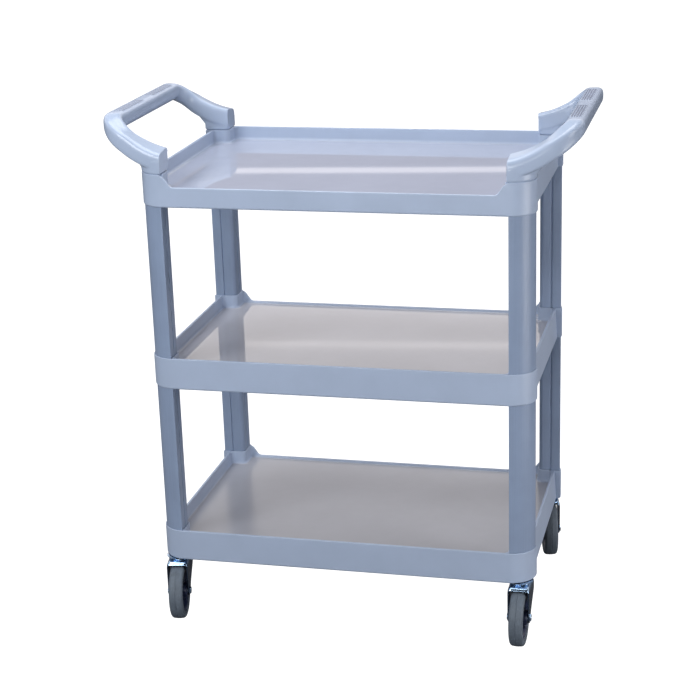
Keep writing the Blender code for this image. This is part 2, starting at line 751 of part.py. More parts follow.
def build_caster(corner, trolley, shared, materials):
    """One caster: its stem is fixed, its fork swivels about the stem, its wheel spins on the axle."""
    swivel = bpy.data.objects.new(f"{corner}_swivel_axis", None)
    trolley.objects.link(swivel)
    swivel.location = (*stem_axis(corner), 0.0)
    swivel.rotation_euler = (0.0, 0.0, math.radians(CASTER_YAW[corner]))
    axle = bpy.data.objects.new(f"{corner}_wheel_axis", None)
    trolley.objects.link(axle)
    axle.parent = swivel
    axle.location = (0.0, -TRAIL, WHEEL_RADIUS)
    axle.rotation_euler = (0.0, math.pi / 2, 0.0)

    plug = socket_plug_mesh(corner)
    place(bpy.data.objects.new(plug.name, plug), trolley, materials["socket"])
    stem = turned(f"{corner}_caster_stem", stem_profile(), trolley, materials["steel"])
    stem.location = (*stem_axis(corner), 0.0)

    fork = bpy.data.objects.new(f"{corner}_caster_fork", shared["fork"])
    place(fork, trolley, materials["chrome"], swivel)
    low, high = FORK_CROWN_TOP + GAP, FORK_CROWN_TOP + 0.0024 - GAP
    race = ring_profile(PIN_RADIUS + 0.002, RACE_RADIUS - 0.002, low, high)
    turned(f"{corner}_ball_race", race, trolley, materials["steel"], closed=True).parent = swivel

    bolt = turned(f"{corner}_axle_bolt", bolt_profile(), trolley, materials["steel"], steps=16)
    bolt.parent = axle
    nut = bpy.data.objects.new(f"{corner}_axle_nut", shared["nut"])
    place(nut, trolley, materials["steel"], axle)
    half = FORK_INSIDE / 2 - GAP
    sleeve = ring_profile(AXLE_RADIUS + GAP, SLEEVE_RADIUS, -half, half)
    turned(f"{corner}_axle_sleeve", sleeve, trolley, materials["steel"], closed=True).parent = axle

    core = turned(
        f"{corner}_wheel_core", core_profile(), trolley, materials["core"], WHEEL_STEPS, True
    )
    core.parent = axle
    tyre = turned(f"{corner}_tyre", tyre_profile(), trolley, materials["tyre"], WHEEL_STEPS, True)
    tyre.parent = axle


# ---------------------------------------------------------------- the trolley

clear_scene()
parts = make_collection("food_service_trolley")
cutters = make_collection("cutters")

shelf_plastic = make_material("shelf_plastic", (0.40, 0.48, 0.62), 0.35)
post_plastic = make_material("post_plastic", (0.22, 0.29, 0.42), 0.40)
caster_materials = {
    "socket": make_material("socket_plastic", (0.05, 0.06, 0.08), 0.5),
    "steel": make_material("zinc_steel", (0.60, 0.63, 0.68), 0.3, 1.0),
    "chrome": make_material("chrome", (0.75, 0.78, 0.84), 0.12, 1.0),
    "core": make_material("wheel_core", (0.02, 0.03, 0.07), 0.45),
    "tyre": make_material("tyre_rubber", (0.14, 0.15, 0.16), 0.6),
}

build_shelves(parts, shelf_plastic)
build_posts(parts, post_plastic)
build_handles(parts, shelf_plastic)
build_handle_screws(parts, caster_materials["steel"])
shared_meshes = {"fork": fork_mesh(), "nut": nut_mesh()}
for corner_name in CORNERS:
    build_caster(corner_name, parts, shared_meshes, caster_materials)
for part in parts.objects:
    if part.parent is None:
        part.location.y += BODY_SHIFT
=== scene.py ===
"""Looks of a three-shelf plastic service trolley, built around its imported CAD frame.

Metres, +Z up, in the frame's own axes. Every piece takes its place from the CAD nodes and joints.
Outlines are drawn in local frames: a shelf stands on z = 0 with its low lip towards -Y, a handle
stands on the corner blocks at the +X end, and a caster has its swivel axis on local Z.
"""

import json
from math import atan2, cos, pi, radians, sin, sqrt, tan, tau

import bmesh
import bpy
from mathutils import Matrix, Vector
from mathutils.bvhtree import BVHTree


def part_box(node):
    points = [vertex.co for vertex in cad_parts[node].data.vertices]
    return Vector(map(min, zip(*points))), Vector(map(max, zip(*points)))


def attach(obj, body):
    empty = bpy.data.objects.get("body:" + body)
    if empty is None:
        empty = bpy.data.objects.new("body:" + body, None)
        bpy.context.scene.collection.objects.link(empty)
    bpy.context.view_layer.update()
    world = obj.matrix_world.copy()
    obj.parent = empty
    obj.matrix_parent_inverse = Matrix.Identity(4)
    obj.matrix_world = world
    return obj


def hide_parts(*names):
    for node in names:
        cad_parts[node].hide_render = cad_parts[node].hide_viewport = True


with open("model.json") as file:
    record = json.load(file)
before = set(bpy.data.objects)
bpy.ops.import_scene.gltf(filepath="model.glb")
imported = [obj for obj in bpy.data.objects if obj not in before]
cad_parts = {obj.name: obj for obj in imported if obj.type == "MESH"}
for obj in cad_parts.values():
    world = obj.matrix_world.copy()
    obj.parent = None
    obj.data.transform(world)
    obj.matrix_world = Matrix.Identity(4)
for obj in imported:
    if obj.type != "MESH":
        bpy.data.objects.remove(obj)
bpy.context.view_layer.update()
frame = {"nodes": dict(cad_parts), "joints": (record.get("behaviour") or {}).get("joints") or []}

# Shelf moulding. Heights are from its underside.
DECK_TOP = 0.030
DECK_THICKNESS = 0.004
LOW_LIP_TOP = 0.0345
LONG_WALL = 0.005
END_WALL = 0.0045
END_INSET_BOTTOM = 0.0085
END_INSET_TOP = 0.0115
LIP_RAMP = 0.018
TRAY_FILLET = 0.0060
TRAY_CORNER = 0.0072
EDGE_ROUND = 0.0012
LIP_ROUND = 0.0014
BLOCK_EDGE_ROUND = 0.0016
SOCKET_FLARE = 0.0005
LOWER_EDGE = 0.0035
RIB_THICKNESS = 0.003
RIB_BOTTOM = 0.010
LONG_RIBS = 2
CROSS_RIBS = 4
RIB_STAGGER = 0.0004

# Corner blocks and posts.
CORNER_RADIUS = 0.042
BLOCK_REACH = 0.0444
BLOCK_INNER_RADIUS = 0.010
SOCKET_WEB_BOTTOM = 0.025
POST_INSET = 0.002
POST_REACH = 0.0417
POST_INNER_RADIUS = 0.008
POST_WALL = 0.0035
GROOVE_FROM_EDGE = 0.0175
GROOVE_WIDTH = 0.0028
GROOVE_DEPTH = 0.0022
POST_EDGE_ROUND = 0.0009
SCREW_HOLE = 0.0033
SCREW_HOLE_SPAN = (0.015, 0.040)

# Push handles. Heights are from the top of the corner blocks.
BASE_BOTTOM = 0.0011
BASE_TOP = 0.0215
SPIGOT_BOTTOM = -0.020
SPIGOT_TOP = 0.004
ARM_START = 0.2858
ARM_START_Z = 0.0215
ARM_WIDTH = 0.0438
ARM_THICKNESS = 0.0335
ARM_CONVERGENCE = 8.0
ARM_RISE_EARLY = 0.34
ARM_RISE_POWER = 2.14
ARM_TOP_SLOPE = 0.0045
BAR_WIDTH = 0.0322
BAR_THICKNESS = 0.0290
BAR_CENTRE_X = 0.3852
BAR_CENTRE_Z = 0.0750
HANDLE_CORNER_RADIUS = 0.040
ARM_STEPS = 16
CORNER_STEPS = 14
GUSSET_OUTLINE = (0.004, 0.036, 0.006)
GUSSET_BOTTOM = 0.0030
GUSSET_LEAN = 0.70
GUSSET_TOE_IN = 0.17
GUSSET_TOP = 0.0365
HANDLE_VOXEL = 0.0010
HANDLE_SMOOTHING = 12
ARM_CORNER_ROUNDS = (0.006, 0.0065, 0.0125, 0.0055)
BAR_CORNER_ROUNDS = (0.013, 0.010, 0.010, 0.0125)
RIDGE_RADIUS = 0.0011
RIDGE_PITCH = 0.0042
RIDGE_COUNT = 5
RIDGE_SPANS = ((-0.128, -0.022), (0.022, 0.128))
RIDGE_OUTWARD = -0.4
RIDGE_SINK = 0.50
RIDGE_TIPS = ((0.0, 0.25), (0.001, 0.7), (0.003, 1.0))
# Strips of painted shade laid between the grip ridges: width, raise above the bar, depth, inset
# from the ridge ends.
BED_WIDTH = 0.0020
BED_RAISE = 0.00015
BED_DEPTH = 0.0012
BED_INSET = 0.002

# Casters. Heights are from the floor.
TYRE_WIDTH = 0.0245
TYRE_INNER_RADIUS = 0.0375
TREAD_ROUND = 0.0055
PARTING_GROOVE = 0.0006
HUB_RADIUS = 0.013
HUB_LENGTH = 0.0290
CORE_WEB = 0.007
CORE_RIM = 0.004
CORE_SPOKES = 6
SPOKE_HUB_HALF = 0.0016
SPOKE_RIM_HALF = 0.0012
SPOKE_SINK = 0.0042
SPOKE_OVERLAP = 0.001
FORK_SHEET = 0.0025
FORK_INSIDE = 0.0320
CROWN_TOP = 0.1075
FORK_FRONT = -0.0310
FORK_REAR = 0.0245
FORK_FLARE = 0.0010
FORK_BEND = 0.0050
FORK_BOSS = 0.0095
FORK_BOSS_TANGENT = 0.94
FORK_BOSS_EDGE = 0.34
FORK_TAIL_LOW = 0.086
FORK_TAIL_CURVE = 0.85
FORK_NOSE_DIP = (0.0042, 0.0055)
FORK_TAIL_DIP = (0.0030, 0.0065)
FORK_EDGE_ROUND = 0.0005
RACE_RADIUS = 0.0215
RACE_HEIGHT = 0.0024
STEM_RADIUS = 0.0055
STEM_TOP = 0.0210
PIN_RADIUS = 0.0040
PIN_CAP_RADIUS = 0.0075
PIN_CAP_HEIGHT = 0.0020
AXLE_RADIUS = 0.0040
SLEEVE_RADIUS = 0.0060
HEAD_RADIUS = 0.0068
HEAD_HEIGHT = 0.0020
THREAD_PITCH = 0.0005
THREAD_ROOT = 0.93
NUT_STEPS = 48
ON_AXLE = ("axle_bolt", "axle_nut", "wheel_core", "tyre")

CUT, ADD = "DIFFERENCE", "UNION"
BODY = "trolley_body"
GAP = 0.0003
PAST = 0.010
CORNERS = {
    "front_left": (-1, -1), "front_right": (1, -1), "rear_left": (-1, 1), "rear_right": (1, 1),
}

shelf_low, shelf_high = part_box("top_shelf")
HALF_LENGTH = (shelf_high.x - shelf_low.x) / 2
HALF_WIDTH = (shelf_high.y - shelf_low.y) / 2
SHELF_HEIGHT = shelf_high.z - shelf_low.z
BODY_Y = (shelf_low.y + shelf_high.y) / 2
SHELF_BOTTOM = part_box("bottom_shelf")[0].z
joints = {joint["name"]: joint for joint in frame["joints"]}


# ---- outlines

def arc(centre, radius, start, end, steps):
    """Points on an arc, in degrees, both ends included."""
    x, y = centre
    angles = [radians(start + (end - start) * i / steps) for i in range(steps + 1)]
    return [(x + radius * cos(a), y + radius * sin(a)) for a in angles]


def circle(radius, count, centre=(0.0, 0.0)):
    return arc(centre, radius, 0, 360 - 360 / count, count - 1)


def rounded(points, radius, steps=4):
    """The closed outline with its corners rounded; radius is one number or one for each point."""
    count = len(points)
    radii = radius if isinstance(radius, (list, tuple)) else [radius] * count
    result = []
    for i, point in enumerate(points):
        here = Vector(point)
        back = Vector(points[i - 1]) - here
        ahead = Vector(points[(i + 1) % count]) - here
        turn = back.angle(ahead, pi) if min(back.length, ahead.length) > 1e-9 else pi
        if radii[i] <= 0 or turn > radians(176):
            result.append(tuple(here))
            continue
        cut = min(radii[i] / tan(turn / 2), back.length * 0.46, ahead.length * 0.46)
        start = here + back.normalized() * cut
        end = here + ahead.normalized() * cut
        for k in range(steps + 1):
            t = k / steps
            result.append(tuple(start * (1 - t) ** 2 + here * 2 * t * (1 - t) + end * t * t))
    return result


def round_shares(count):
    """Shares of a radius, (1 - sine, 1 - cosine), along the quarter round that eases an edge."""
    angles = [pi / 2 * i / count for i in range(count + 1)]
    return [(1 - sin(a), 1 - cos(a)) for a in angles]


def at_height(outline, z):
    return [(x, y, z) for x, y in outline]


def smooth_step(t):
    t = min(1.0, max(0.0, t))
    return t * t * (3 - 2 * t)


def quarter_round(inset, reach, inner_radius, grooved=False):
    """Outline of a corner block, in distances in from the end and from the side of the shelf."""
    centre = (CORNER_RADIUS, CORNER_RADIUS)
    points = arc(centre, CORNER_RADIUS - inset, 180, 270, 14)
    notch = []
    if grooved:
        for depth, side in ((0, -0.5), (1, -0.3), (1, 0.3), (0, 0.5)):
            along = inset + GROOVE_FROM_EDGE + GROOVE_WIDTH * side
            notch.append((reach - GROOVE_DEPTH * depth, along))
    if reach > CORNER_RADIUS:
        points.append((reach, inset))
    else:
        points = [p for p in points if p[0] < reach - 0.0002 and p[1] < reach - 0.0002]
        edge = CORNER_RADIUS - sqrt((CORNER_RADIUS - inset) ** 2 - (CORNER_RADIUS - reach) ** 2)
        points = [(edge, reach), *points, (reach, edge)]
    points += notch
    inner = reach - inner_radius
    points += arc((inner, inner), inner_radius, 0, 90, 8)
    points += [point[::-1] for point in reversed(notch)]
    if reach > CORNER_RADIUS:
        points.append((inset, reach))
    return points


def in_corner(points, corner):
    """Corner distances turned into x, y for one of the four corners."""
    sx, sy = CORNERS[corner]
    return [(sx * (HALF_LENGTH - u), sy * (HALF_WIDTH - v)) for u, v in points]


def four_ways(quarter):
    """A closed outline from its quarter above zero, which runs from the x axis to the y axis."""
    points = []
    for sx, sy in ((1, 1), (-1, 1), (-1, -1), (1, -1)):
        side = [(sx * x, sy * y) for x, y in quarter]
        points += side if sx * sy > 0 else side[::-1]
    return [p for i, p in enumerate(points) if (Vector(p) - Vector(points[i - 1])).length > 1e-7]


def shelf_outline(inset):
    corner = (HALF_LENGTH - CORNER_RADIUS, HALF_WIDTH - CORNER_RADIUS)
    return four_ways(arc(corner, CORNER_RADIUS - inset, 0, 90, 14))


def tray_outline(offset):
    """The space between the four walls, drawn in by offset, stepping round the corner blocks."""
    half_x = HALF_LENGTH - END_INSET_TOP - END_WALL - offset
    half_y = HALF_WIDTH - LONG_WALL - offset
    block_x = HALF_LENGTH - BLOCK_REACH - offset
    block_y = HALF_WIDTH - BLOCK_REACH - offset
    hollow = TRAY_CORNER - offset
    centre = (block_x + offset + BLOCK_INNER_RADIUS, block_y + offset + BLOCK_INNER_RADIUS)
    quarter = [(half_x, 0.0)]
    quarter += arc((half_x - hollow, block_y - hollow), hollow, 0, 90, 6)
    quarter += arc(centre, BLOCK_INNER_RADIUS + offset, 270, 180, 8)
    quarter += arc((block_x - hollow, half_y - hollow), hollow, 0, 90, 6)
    quarter += [(0.0, half_y)]
    return four_ways(quarter)


# ---- meshes

def mesh_from(work, name, turn=None):
    if turn:
        bmesh.ops.transform(work, matrix=turn, verts=work.verts)
    bmesh.ops.recalc_face_normals(work, faces=work.faces)
    mesh = bpy.data.meshes.new(name)
    work.to_mesh(mesh)
    work.free()
    return mesh


def loft(name, rings, turn=None, closed=False):
    """A skin over rings of as many points each, with its ends capped, or joined when closed."""
    work = bmesh.new()
    verts = [[work.verts.new(point) for point in ring] for ring in rings]
    for first, second in zip(verts, verts[1:] + verts[:closed]):
        for i in range(len(first)):
            work.faces.new((first[i - 1], first[i], second[i], second[i - 1]))
    if not closed:
        work.faces.new(reversed(verts[0]))
        work.faces.new(verts[-1])
    return mesh_from(work, name, turn)


def plate(name, outline, low, high, turn=None):
    """A flat plate that fills the outline from low to high."""
    return loft(name, [at_height(outline, low), at_height(outline, high)], turn)


def widened(outline, distance):
    """The outline with each point moved out from its centre."""
    centre = sum((Vector(p) for p in outline), Vector((0.0, 0.0))) / len(outline)
    moved = [Vector(p) + (Vector(p) - centre).normalized() * distance for p in outline]
    return [tuple(p) for p in moved]


def spun(name, profile, steps, closed=False):
    """A turned piece about Z from its (radius, height) profile, which may be closed."""
    work = bmesh.new()
    rings = []
    for r, z in profile:
        points = circle(r, steps) if r > 1e-7 else [(0.0, 0.0)]
        rings.append([work.verts.new(point) for point in at_height(points, z)])
    for first, second in zip(rings, rings[1:] + rings[:closed]):
        for k in range(steps):
            corners = ((first, k - 1), (first, k), (second, k), (second, k - 1))
            face = list(dict.fromkeys(ring[i % len(ring)] for ring, i in corners))
            if len(face) > 2:
                work.faces.new(face)
    return mesh_from(work, name)


def joined(name, meshes):
    """One mesh that holds all of these, each as its own closed shell."""
    work = bmesh.new()
    for mesh in meshes:
        work.from_mesh(mesh)
        bpy.data.meshes.remove(mesh)
    return mesh_from(work, name)


def evaluated(obj, name):
    """The object's mesh with its modifiers applied; the object is removed."""
    bpy.context.view_layer.update()
    graph = bpy.context.evaluated_depsgraph_get()
    mesh = bpy.data.meshes.new_from_object(obj.evaluated_get(graph))
    mesh.name = name
    bpy.data.objects.remove(obj, do_unlink=True)
    return mesh


def new_object(name, data):
    obj = bpy.data.objects.new(name, data)
    bpy.context.scene.collection.objects.link(obj)
    return obj


def combine(name, base_mesh, steps):
    """Boolean the (operation, mesh) steps onto the base one after another."""
    base = new_object(name, base_mesh)
    tools = []
    for index, (operation, mesh) in enumerate(steps):
        tool = new_object(f"{name}_tool_{index}", mesh)
        tools.append(tool)
        modifier = base.modifiers.new(f"step_{index}", "BOOLEAN")
        modifier.operation = operation
        modifier.solver = "EXACT"
        modifier.object = tool
    mesh = evaluated(base, name)
    for tool in tools:
        bpy.data.objects.remove(tool, do_unlink=True)
    work = bmesh.new()
    work.from_mesh(mesh)
    bmesh.ops.remove_doubles(work, verts=work.verts, dist=2e-6)
    bmesh.ops.dissolve_degenerate(work, edges=work.edges, dist=2e-6)
    bpy.data.meshes.remove(mesh)
    return mesh_from(work, name)


def flat_faces(obj, keep_sharp=True):
    """Shades large flat faces flat up to the fillets that border them."""
    weighted = obj.modifiers.new("flat_faces", "WEIGHTED_NORMAL")
    weighted.keep_sharp = keep_sharp
    weighted.weight = 60


def soft_edges(obj, width):
    """Rounds the hard edges a little and keeps the flats flat, as on a pressing."""
    bevel = obj.modifiers.new("edge_round", "BEVEL")
    bevel.width = width
    bevel.segments = 2
    bevel.limit_method = "ANGLE"
    bevel.angle_limit = radians(50.0)
    bevel.use_clamp_overlap = False
    obj.data.shade_smooth()
    flat_faces(obj, keep_sharp=False)


def smooth_by_angle(mesh, angle):
    mesh.shade_smooth()
    mesh.set_sharp_from_angle(angle=radians(angle))
    return mesh


def add_piece(name, mesh, material, body, node=None, place=None):
    """A finished piece that rides on a body and, where a node is given, stands for it."""
    obj = new_object(name, mesh)
    if place:
        obj.matrix_world = place
    mesh.materials.clear()
    mesh.materials.append(material)
    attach(obj, body)
    if node:
        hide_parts(node)
    return obj


# ---- materials

class Nodes:
    """Short calls for the node tree of a material or a world."""

    def __init__(self, owner):
        owner.use_nodes = True
        self.owner = owner
        self.tree = owner.node_tree
        self.shader = self.tree.nodes.get("Principled BSDF")
        self.coordinates = self.add("ShaderNodeTexCoord").outputs
        self.place = self.coordinates["Object"]

    def add(self, kind, inputs=None, **settings):
        """A new node. Each input takes a plain value, or is linked to another node's output."""
        node = self.tree.nodes.new(kind)
        for key, value in settings.items():
            setattr(node, key, value)
        for key, value in (inputs or {}).items():
            if isinstance(value, bpy.types.NodeSocket):
                self.link(value, node.inputs[key])
            else:
                node.inputs[key].default_value = value
        return node

    def link(self, source, target):
        self.tree.links.new(source, target)

    def stretched(self, *scale):
        return self.add("ShaderNodeMapping", {"Vector": self.place, "Scale": scale}).outputs[0]

    def noise(self, scale, detail=2.0, rough=0.5, vector=None):
        return self.add("ShaderNodeTexNoise", {
            "Scale": scale, "Detail": detail, "Roughness": rough, "Vector": vector or self.place,
        }).outputs["Fac"]

    def ranged(self, source, low, high, to_low=0.0, to_high=1.0):
        return self.add("ShaderNodeMapRange", {
            "Value": source, "From Min": low, "From Max": high, "To Min": to_low, "To Max": to_high,
        }).outputs["Result"]

    def mixed(self, factor, *colours):
        """Colour between two, each three numbers or an output."""
        first, second = ((*c, 1.0) if isinstance(c, tuple) else c for c in colours)
        inputs = {"Factor": factor, 6: first, 7: second}
        return self.add("ShaderNodeMix", inputs, data_type="RGBA").outputs[2]

    def product(self, first, second):
        return self.add("ShaderNodeMath", {0: first, 1: second}, operation="MULTIPLY").outputs[0]

    def part_of(self, vector, axis):
        return self.add("ShaderNodeSeparateXYZ", {0: vector}).outputs[axis]

    def bump(self, height, strength, distance, under=None):
        inputs = {"Height": height, "Strength": strength, "Distance": distance}
        if under:
            inputs["Normal"] = under
        return self.add("ShaderNodeBump", inputs).outputs["Normal"]

    def normal(self):
        return self.add("ShaderNodeNewGeometry").outputs["Normal"]

    def edges(self, radius):
        """Near 1 on an outer or inner edge and 0 on a flat, from how a rounded normal leans."""
        eased = self.add("ShaderNodeBevel", {"Radius": radius}, samples=4).outputs["Normal"]
        inputs = {0: eased, 1: self.normal()}
        lean = self.add("ShaderNodeVectorMath", inputs, operation="DOT_PRODUCT").outputs["Value"]
        return self.ranged(lean, 0.95, 0.78)

    def deck_mask(self):
        """1 on the flat that faces up at the height of a shelf's deck, in the shelf's own frame."""
        height = self.part_of(self.place, "Z")
        level = self.ranged(height, DECK_TOP + 0.0002, DECK_TOP + TRAY_FILLET, 1.0, 0.0)
        return self.product(self.ranged(self.part_of(self.normal(), "Z"), 0.55, 0.98), level)

    def mix_shaders(self, factor, first, second, output):
        mix = self.add("ShaderNodeMixShader", {0: factor, 1: first, 2: second})
        self.link(mix.outputs[0], self.tree.nodes[output].inputs["Surface"])

    def finish(self, colour, roughness, normal):
        """The material, with its textured sockets linked."""
        for name, source in (("Base Color", colour), ("Roughness", roughness), ("Normal", normal)):
            self.link(source, self.shader.inputs[name])
        return self.owner


def new_look(name):
    return Nodes(bpy.data.materials.new(name))


def shades(colour, spread):
    """A slightly darker and a slightly lighter version of a colour."""
    return tuple(tuple(min(1.0, c * (1 + d)) for c in colour) for d in (-spread, spread))


def moulded_plastic(name, colour, roughness, grain=520.0, worn=0.16, deck=None, deck_share=1.0):
    """Moulded polymer: clouded pigment, fine orange peel, scuffs that dull it, and rubbed edges.
    Where deck is a colour, the flat that faces up at the height of a shelf's deck takes it as a
    painted tint for the light, shade and warm reflections on that deck, and only deck_share of the
    roughness."""
    n = new_look(name)
    mask = n.deck_mask() if deck else None

    def eased(value, share):
        return n.ranged(mask, 0.0, 1.0, value, value * share) if deck else value

    base = n.mixed(n.ranged(n.noise(9.0, 4.0, 0.6), 0.3, 0.7), *shades(colour, 0.045))
    if deck:
        # Painted light: the deck's tint stands in for the light, shade and warm reflections on it.
        painted_deck_light = n.mixed(n.ranged(n.noise(5.0, 5.0, 0.7), 0.35, 0.65), *shades(deck, 0.035))
        base = n.mixed(mask, base, painted_deck_light)
    speck = n.ranged(n.noise(1400.0, 1.0), 0.66, 0.74, 0.0, 0.18)
    base = n.mixed(speck, base, shades(colour, 0.12)[0])
    rub = n.ranged(n.noise(55.0, 5.0, 0.65), 0.42, 0.62, 0.0, worn)
    pale = tuple(min(1.0, c * 1.22 + 0.03) for c in colour)
    base = n.mixed(n.product(n.edges(0.0014), rub), base, pale)
    scuffs = n.noise(14.0, 1.0, 0.4, n.stretched(0.4, 1.0, 1.0))
    rough = n.ranged(scuffs, 0.25, 0.75, roughness - 0.02, roughness + 0.03)
    if deck:
        rough = n.product(n.ranged(mask, 0.0, 1.0, 1.0, deck_share), rough)
    peel = n.bump(n.noise(grain, 3.0, 0.55), eased(0.022, DECK_BUMP_SHARE), 0.0006)
    waves = n.bump(n.noise(7.0, 1.0), eased(0.03, DECK_BUMP_SHARE), 0.003, peel)
    n.shader.inputs["IOR"].default_value = 1.5
    return n.finish(base, rough, waves)


def drawn_plastic(name, colour, roughness):
    """Extruded profile: fine lines along its height, satin, with slow changes of tone."""
    n = new_look(name)
    lines = n.noise(420.0, 3.0, 0.6, n.stretched(1.0, 1.0, 0.012))
    base = n.mixed(n.ranged(n.noise(11.0, 3.0, 0.6), 0.3, 0.7), *shades(colour, 0.07))
    base = n.mixed(n.ranged(lines, 0.35, 0.7, 0.0, 0.35), base, shades(colour, 0.16)[1])
    rough = n.ranged(lines, 0.3, 0.7, roughness - 0.06, roughness + 0.08)
    n.shader.inputs["Specular IOR Level"].default_value = 0.5
    drawn = n.bump(lines, 0.16, 0.0004)
    return n.finish(base, rough, n.bump(n.noise(600.0, 2.0), 0.05, 0.0004, drawn))


def plated(n, base, shadow, roughness, dulled, spot_scale, pit_depth, line_depth):
    """Metal plate over a base colour: dull spots, fine brush lines and pits."""
    n.shader.inputs["Metallic"].default_value = 1.0
    spots = n.ranged(n.noise(spot_scale, 2.0), 0.62, 0.75, 0.0, 0.35)
    base = n.mixed(spots, base, shades(shadow, 0.35)[0])
    lines = n.noise(900.0, 3.0, 0.6, n.stretched(1.0, 1.0, 0.08))
    rough = n.ranged(lines, 0.3, 0.75, roughness - 0.03, roughness + dulled)
    pits = n.bump(n.noise(240.0, 4.0, 0.6), pit_depth, 0.0003)
    return n.finish(base, rough, n.bump(lines, line_depth, 0.0002, pits))


def plated_steel(name, colour, tint, roughness):
    """Zinc plate: bluish clouds over bright metal."""
    n = new_look(name)
    base = n.mixed(n.ranged(n.noise(70.0, 4.0, 0.6), 0.35, 0.65), colour, tint)
    return plated(n, base, tint, roughness, 0.14, 520.0, 0.10, 0.06)


def pressed_chrome(name, crown, leg, roughness):
    """Chrome plate on a pressing, with light and shade painted into its colour: a painted highlight
    on the crown, and painted shade with painted reflection streaks on the legs.
    """
    n = new_look(name)
    # Painted light: painted shade on the legs and a painted highlight on the crown, blended by
    # height along a wavy edge.
    wave = n.noise(85.0, 3.0, 0.55, n.stretched(1.0, 1.0, 0.35))
    inputs = {0: wave, 1: CROWN_FADE * 1.6, 2: n.part_of(n.place, "Z")}
    swept = n.add("ShaderNodeMath", inputs, operation="MULTIPLY_ADD").outputs[0]
    height = n.ranged(swept, CROWN_FADE_LOW, CROWN_FADE_LOW + CROWN_FADE)
    # Painted reflection: lighter streaks over the painted shade on the legs.
    reflection_streak = n.noise(130.0, 2.0, 0.5, n.stretched(1.0, 1.0, 0.25))
    painted_leg_shade = n.mixed(n.ranged(reflection_streak, 0.54, 0.66, 0.0, 0.55), leg, shades(leg, 1.4)[1])
    return plated(n, n.mixed(height, painted_leg_shade, crown), leg, roughness, 0.12, 620.0, 0.08, 0.05)


def tyre_rubber(name, colour, roughness):
    """Solid grey rubber: dusty tread, fine pores, darker rubbed patches."""
    n = new_look(name)
    patch = n.noise(60.0, 5.0, 0.65)
    base = n.mixed(n.ranged(patch, 0.3, 0.7), *shades(colour, 0.16))
    dust = n.ranged(n.noise(340.0, 4.0, 0.7), 0.52, 0.72, 0.0, 0.4)
    base = n.mixed(dust, base, tuple(min(1.0, c * 1.5) for c in colour))
    rough = n.ranged(patch, 0.3, 0.7, roughness - 0.08, roughness + 0.12)
    pores = n.bump(n.noise(900.0, 3.0, 0.6), 0.25, 0.0004)
    n.shader.inputs["Specular IOR Level"].default_value = 0.42
    return n.finish(base, rough, n.bump(patch, 0.12, 0.0008, pores))


SHELF_COLOUR = (0.400, 0.480, 0.630)
SHELF_ROUGHNESS = 0.32
# For each shelf, the colour of its deck, a painted tint for the light, shade and warm reflections
# on that deck, and the share of the roughness that the deck has.
DECKS = {
    "top": ((0.410, 0.445, 0.555), 0.075),
    "middle": ((0.505, 0.508, 0.560), 0.15),
    "bottom": ((0.440, 0.445, 0.490), 0.66),
}
DECK_BUMP_SHARE = 0.08
# The height at which the painted shade on the legs turns into the painted highlight on the crown.
CROWN_FADE_LOW = 0.1040
CROWN_FADE = 0.0060

# Painted light: the shelves share one plastic and differ only in their painted deck tints and deck
# roughness.
shelf_plastics = {
    level: moulded_plastic(
        f"{level}_shelf_look", SHELF_COLOUR, SHELF_ROUGHNESS, deck=colour, deck_share=share
    )
    for level, (colour, share) in DECKS.items()
}
# Painted shade: the dark colour of the strips between the grip ridges.
groove_shade_plastic = moulded_plastic("grip_groove_shade_look", (0.150, 0.175, 0.260), 0.45, worn=0.1)
handle_plastic = moulded_plastic("handle_plastic_look", SHELF_COLOUR, 0.21, grain=420.0)
post_plastic = drawn_plastic("post_plastic_look", (0.245, 0.312, 0.445), 0.36)
socket_plastic = moulded_plastic("socket_plastic_look", (0.05, 0.06, 0.08), 0.5, worn=0.1)
core_plastic = moulded_plastic("wheel_core_look", (0.020, 0.030, 0.075), 0.34, worn=0.2)
zinc = plated_steel("zinc_steel_look", (0.62, 0.70, 0.80), (0.34, 0.52, 0.74), 0.18)
# Chrome colours: the first is a painted highlight for the crown, the second painted shade for the
# legs.
chrome = pressed_chrome("chrome_look", (0.50, 0.70, 0.95), (0.100, 0.140, 0.200), 0.11)
rubber = tyre_rubber("tyre_rubber_look", (0.116, 0.143, 0.178), 0.58)


# ---- shelves

def end_notch(side):
    """What is cut from one end wall's outer face: a wedge, because that face leans in upwards.
    It rounds the wall's top edge and the upright edges of the corner blocks beside it."""
    outer, top, r, edge = HALF_LENGTH, SHELF_HEIGHT, EDGE_ROUND, BLOCK_EDGE_ROUND
    face = outer - END_INSET_TOP
    wedge = [(outer + PAST, -PAST), (outer + PAST, top + PAST), (face - r, top + PAST)]
    wedge += arc((face - r, top - r), r, 90, 0, 4)
    wedge += [(outer - END_INSET_BOTTOM, 0.0), (outer - END_INSET_BOTTOM, -PAST)]
    half = HALF_WIDTH - BLOCK_REACH
    ends = []
    for i in range(5):
        s = edge * i / 4
        x = outer - edge + sqrt(edge ** 2 - (edge - s) ** 2)
        ends.append((half + s, [(outer + PAST, z) if a > outer else (x, z) for a, z in wedge]))
    stations = [(-y, ring) for y, ring in reversed(ends)]
    stations += [(-half + 0.00001, wedge), (half - 0.00001, wedge)]
    stations += ends
    rings = [[(side * x, y, z) for x, z in ring] for y, ring in stations]
    return loft("notch", rings)


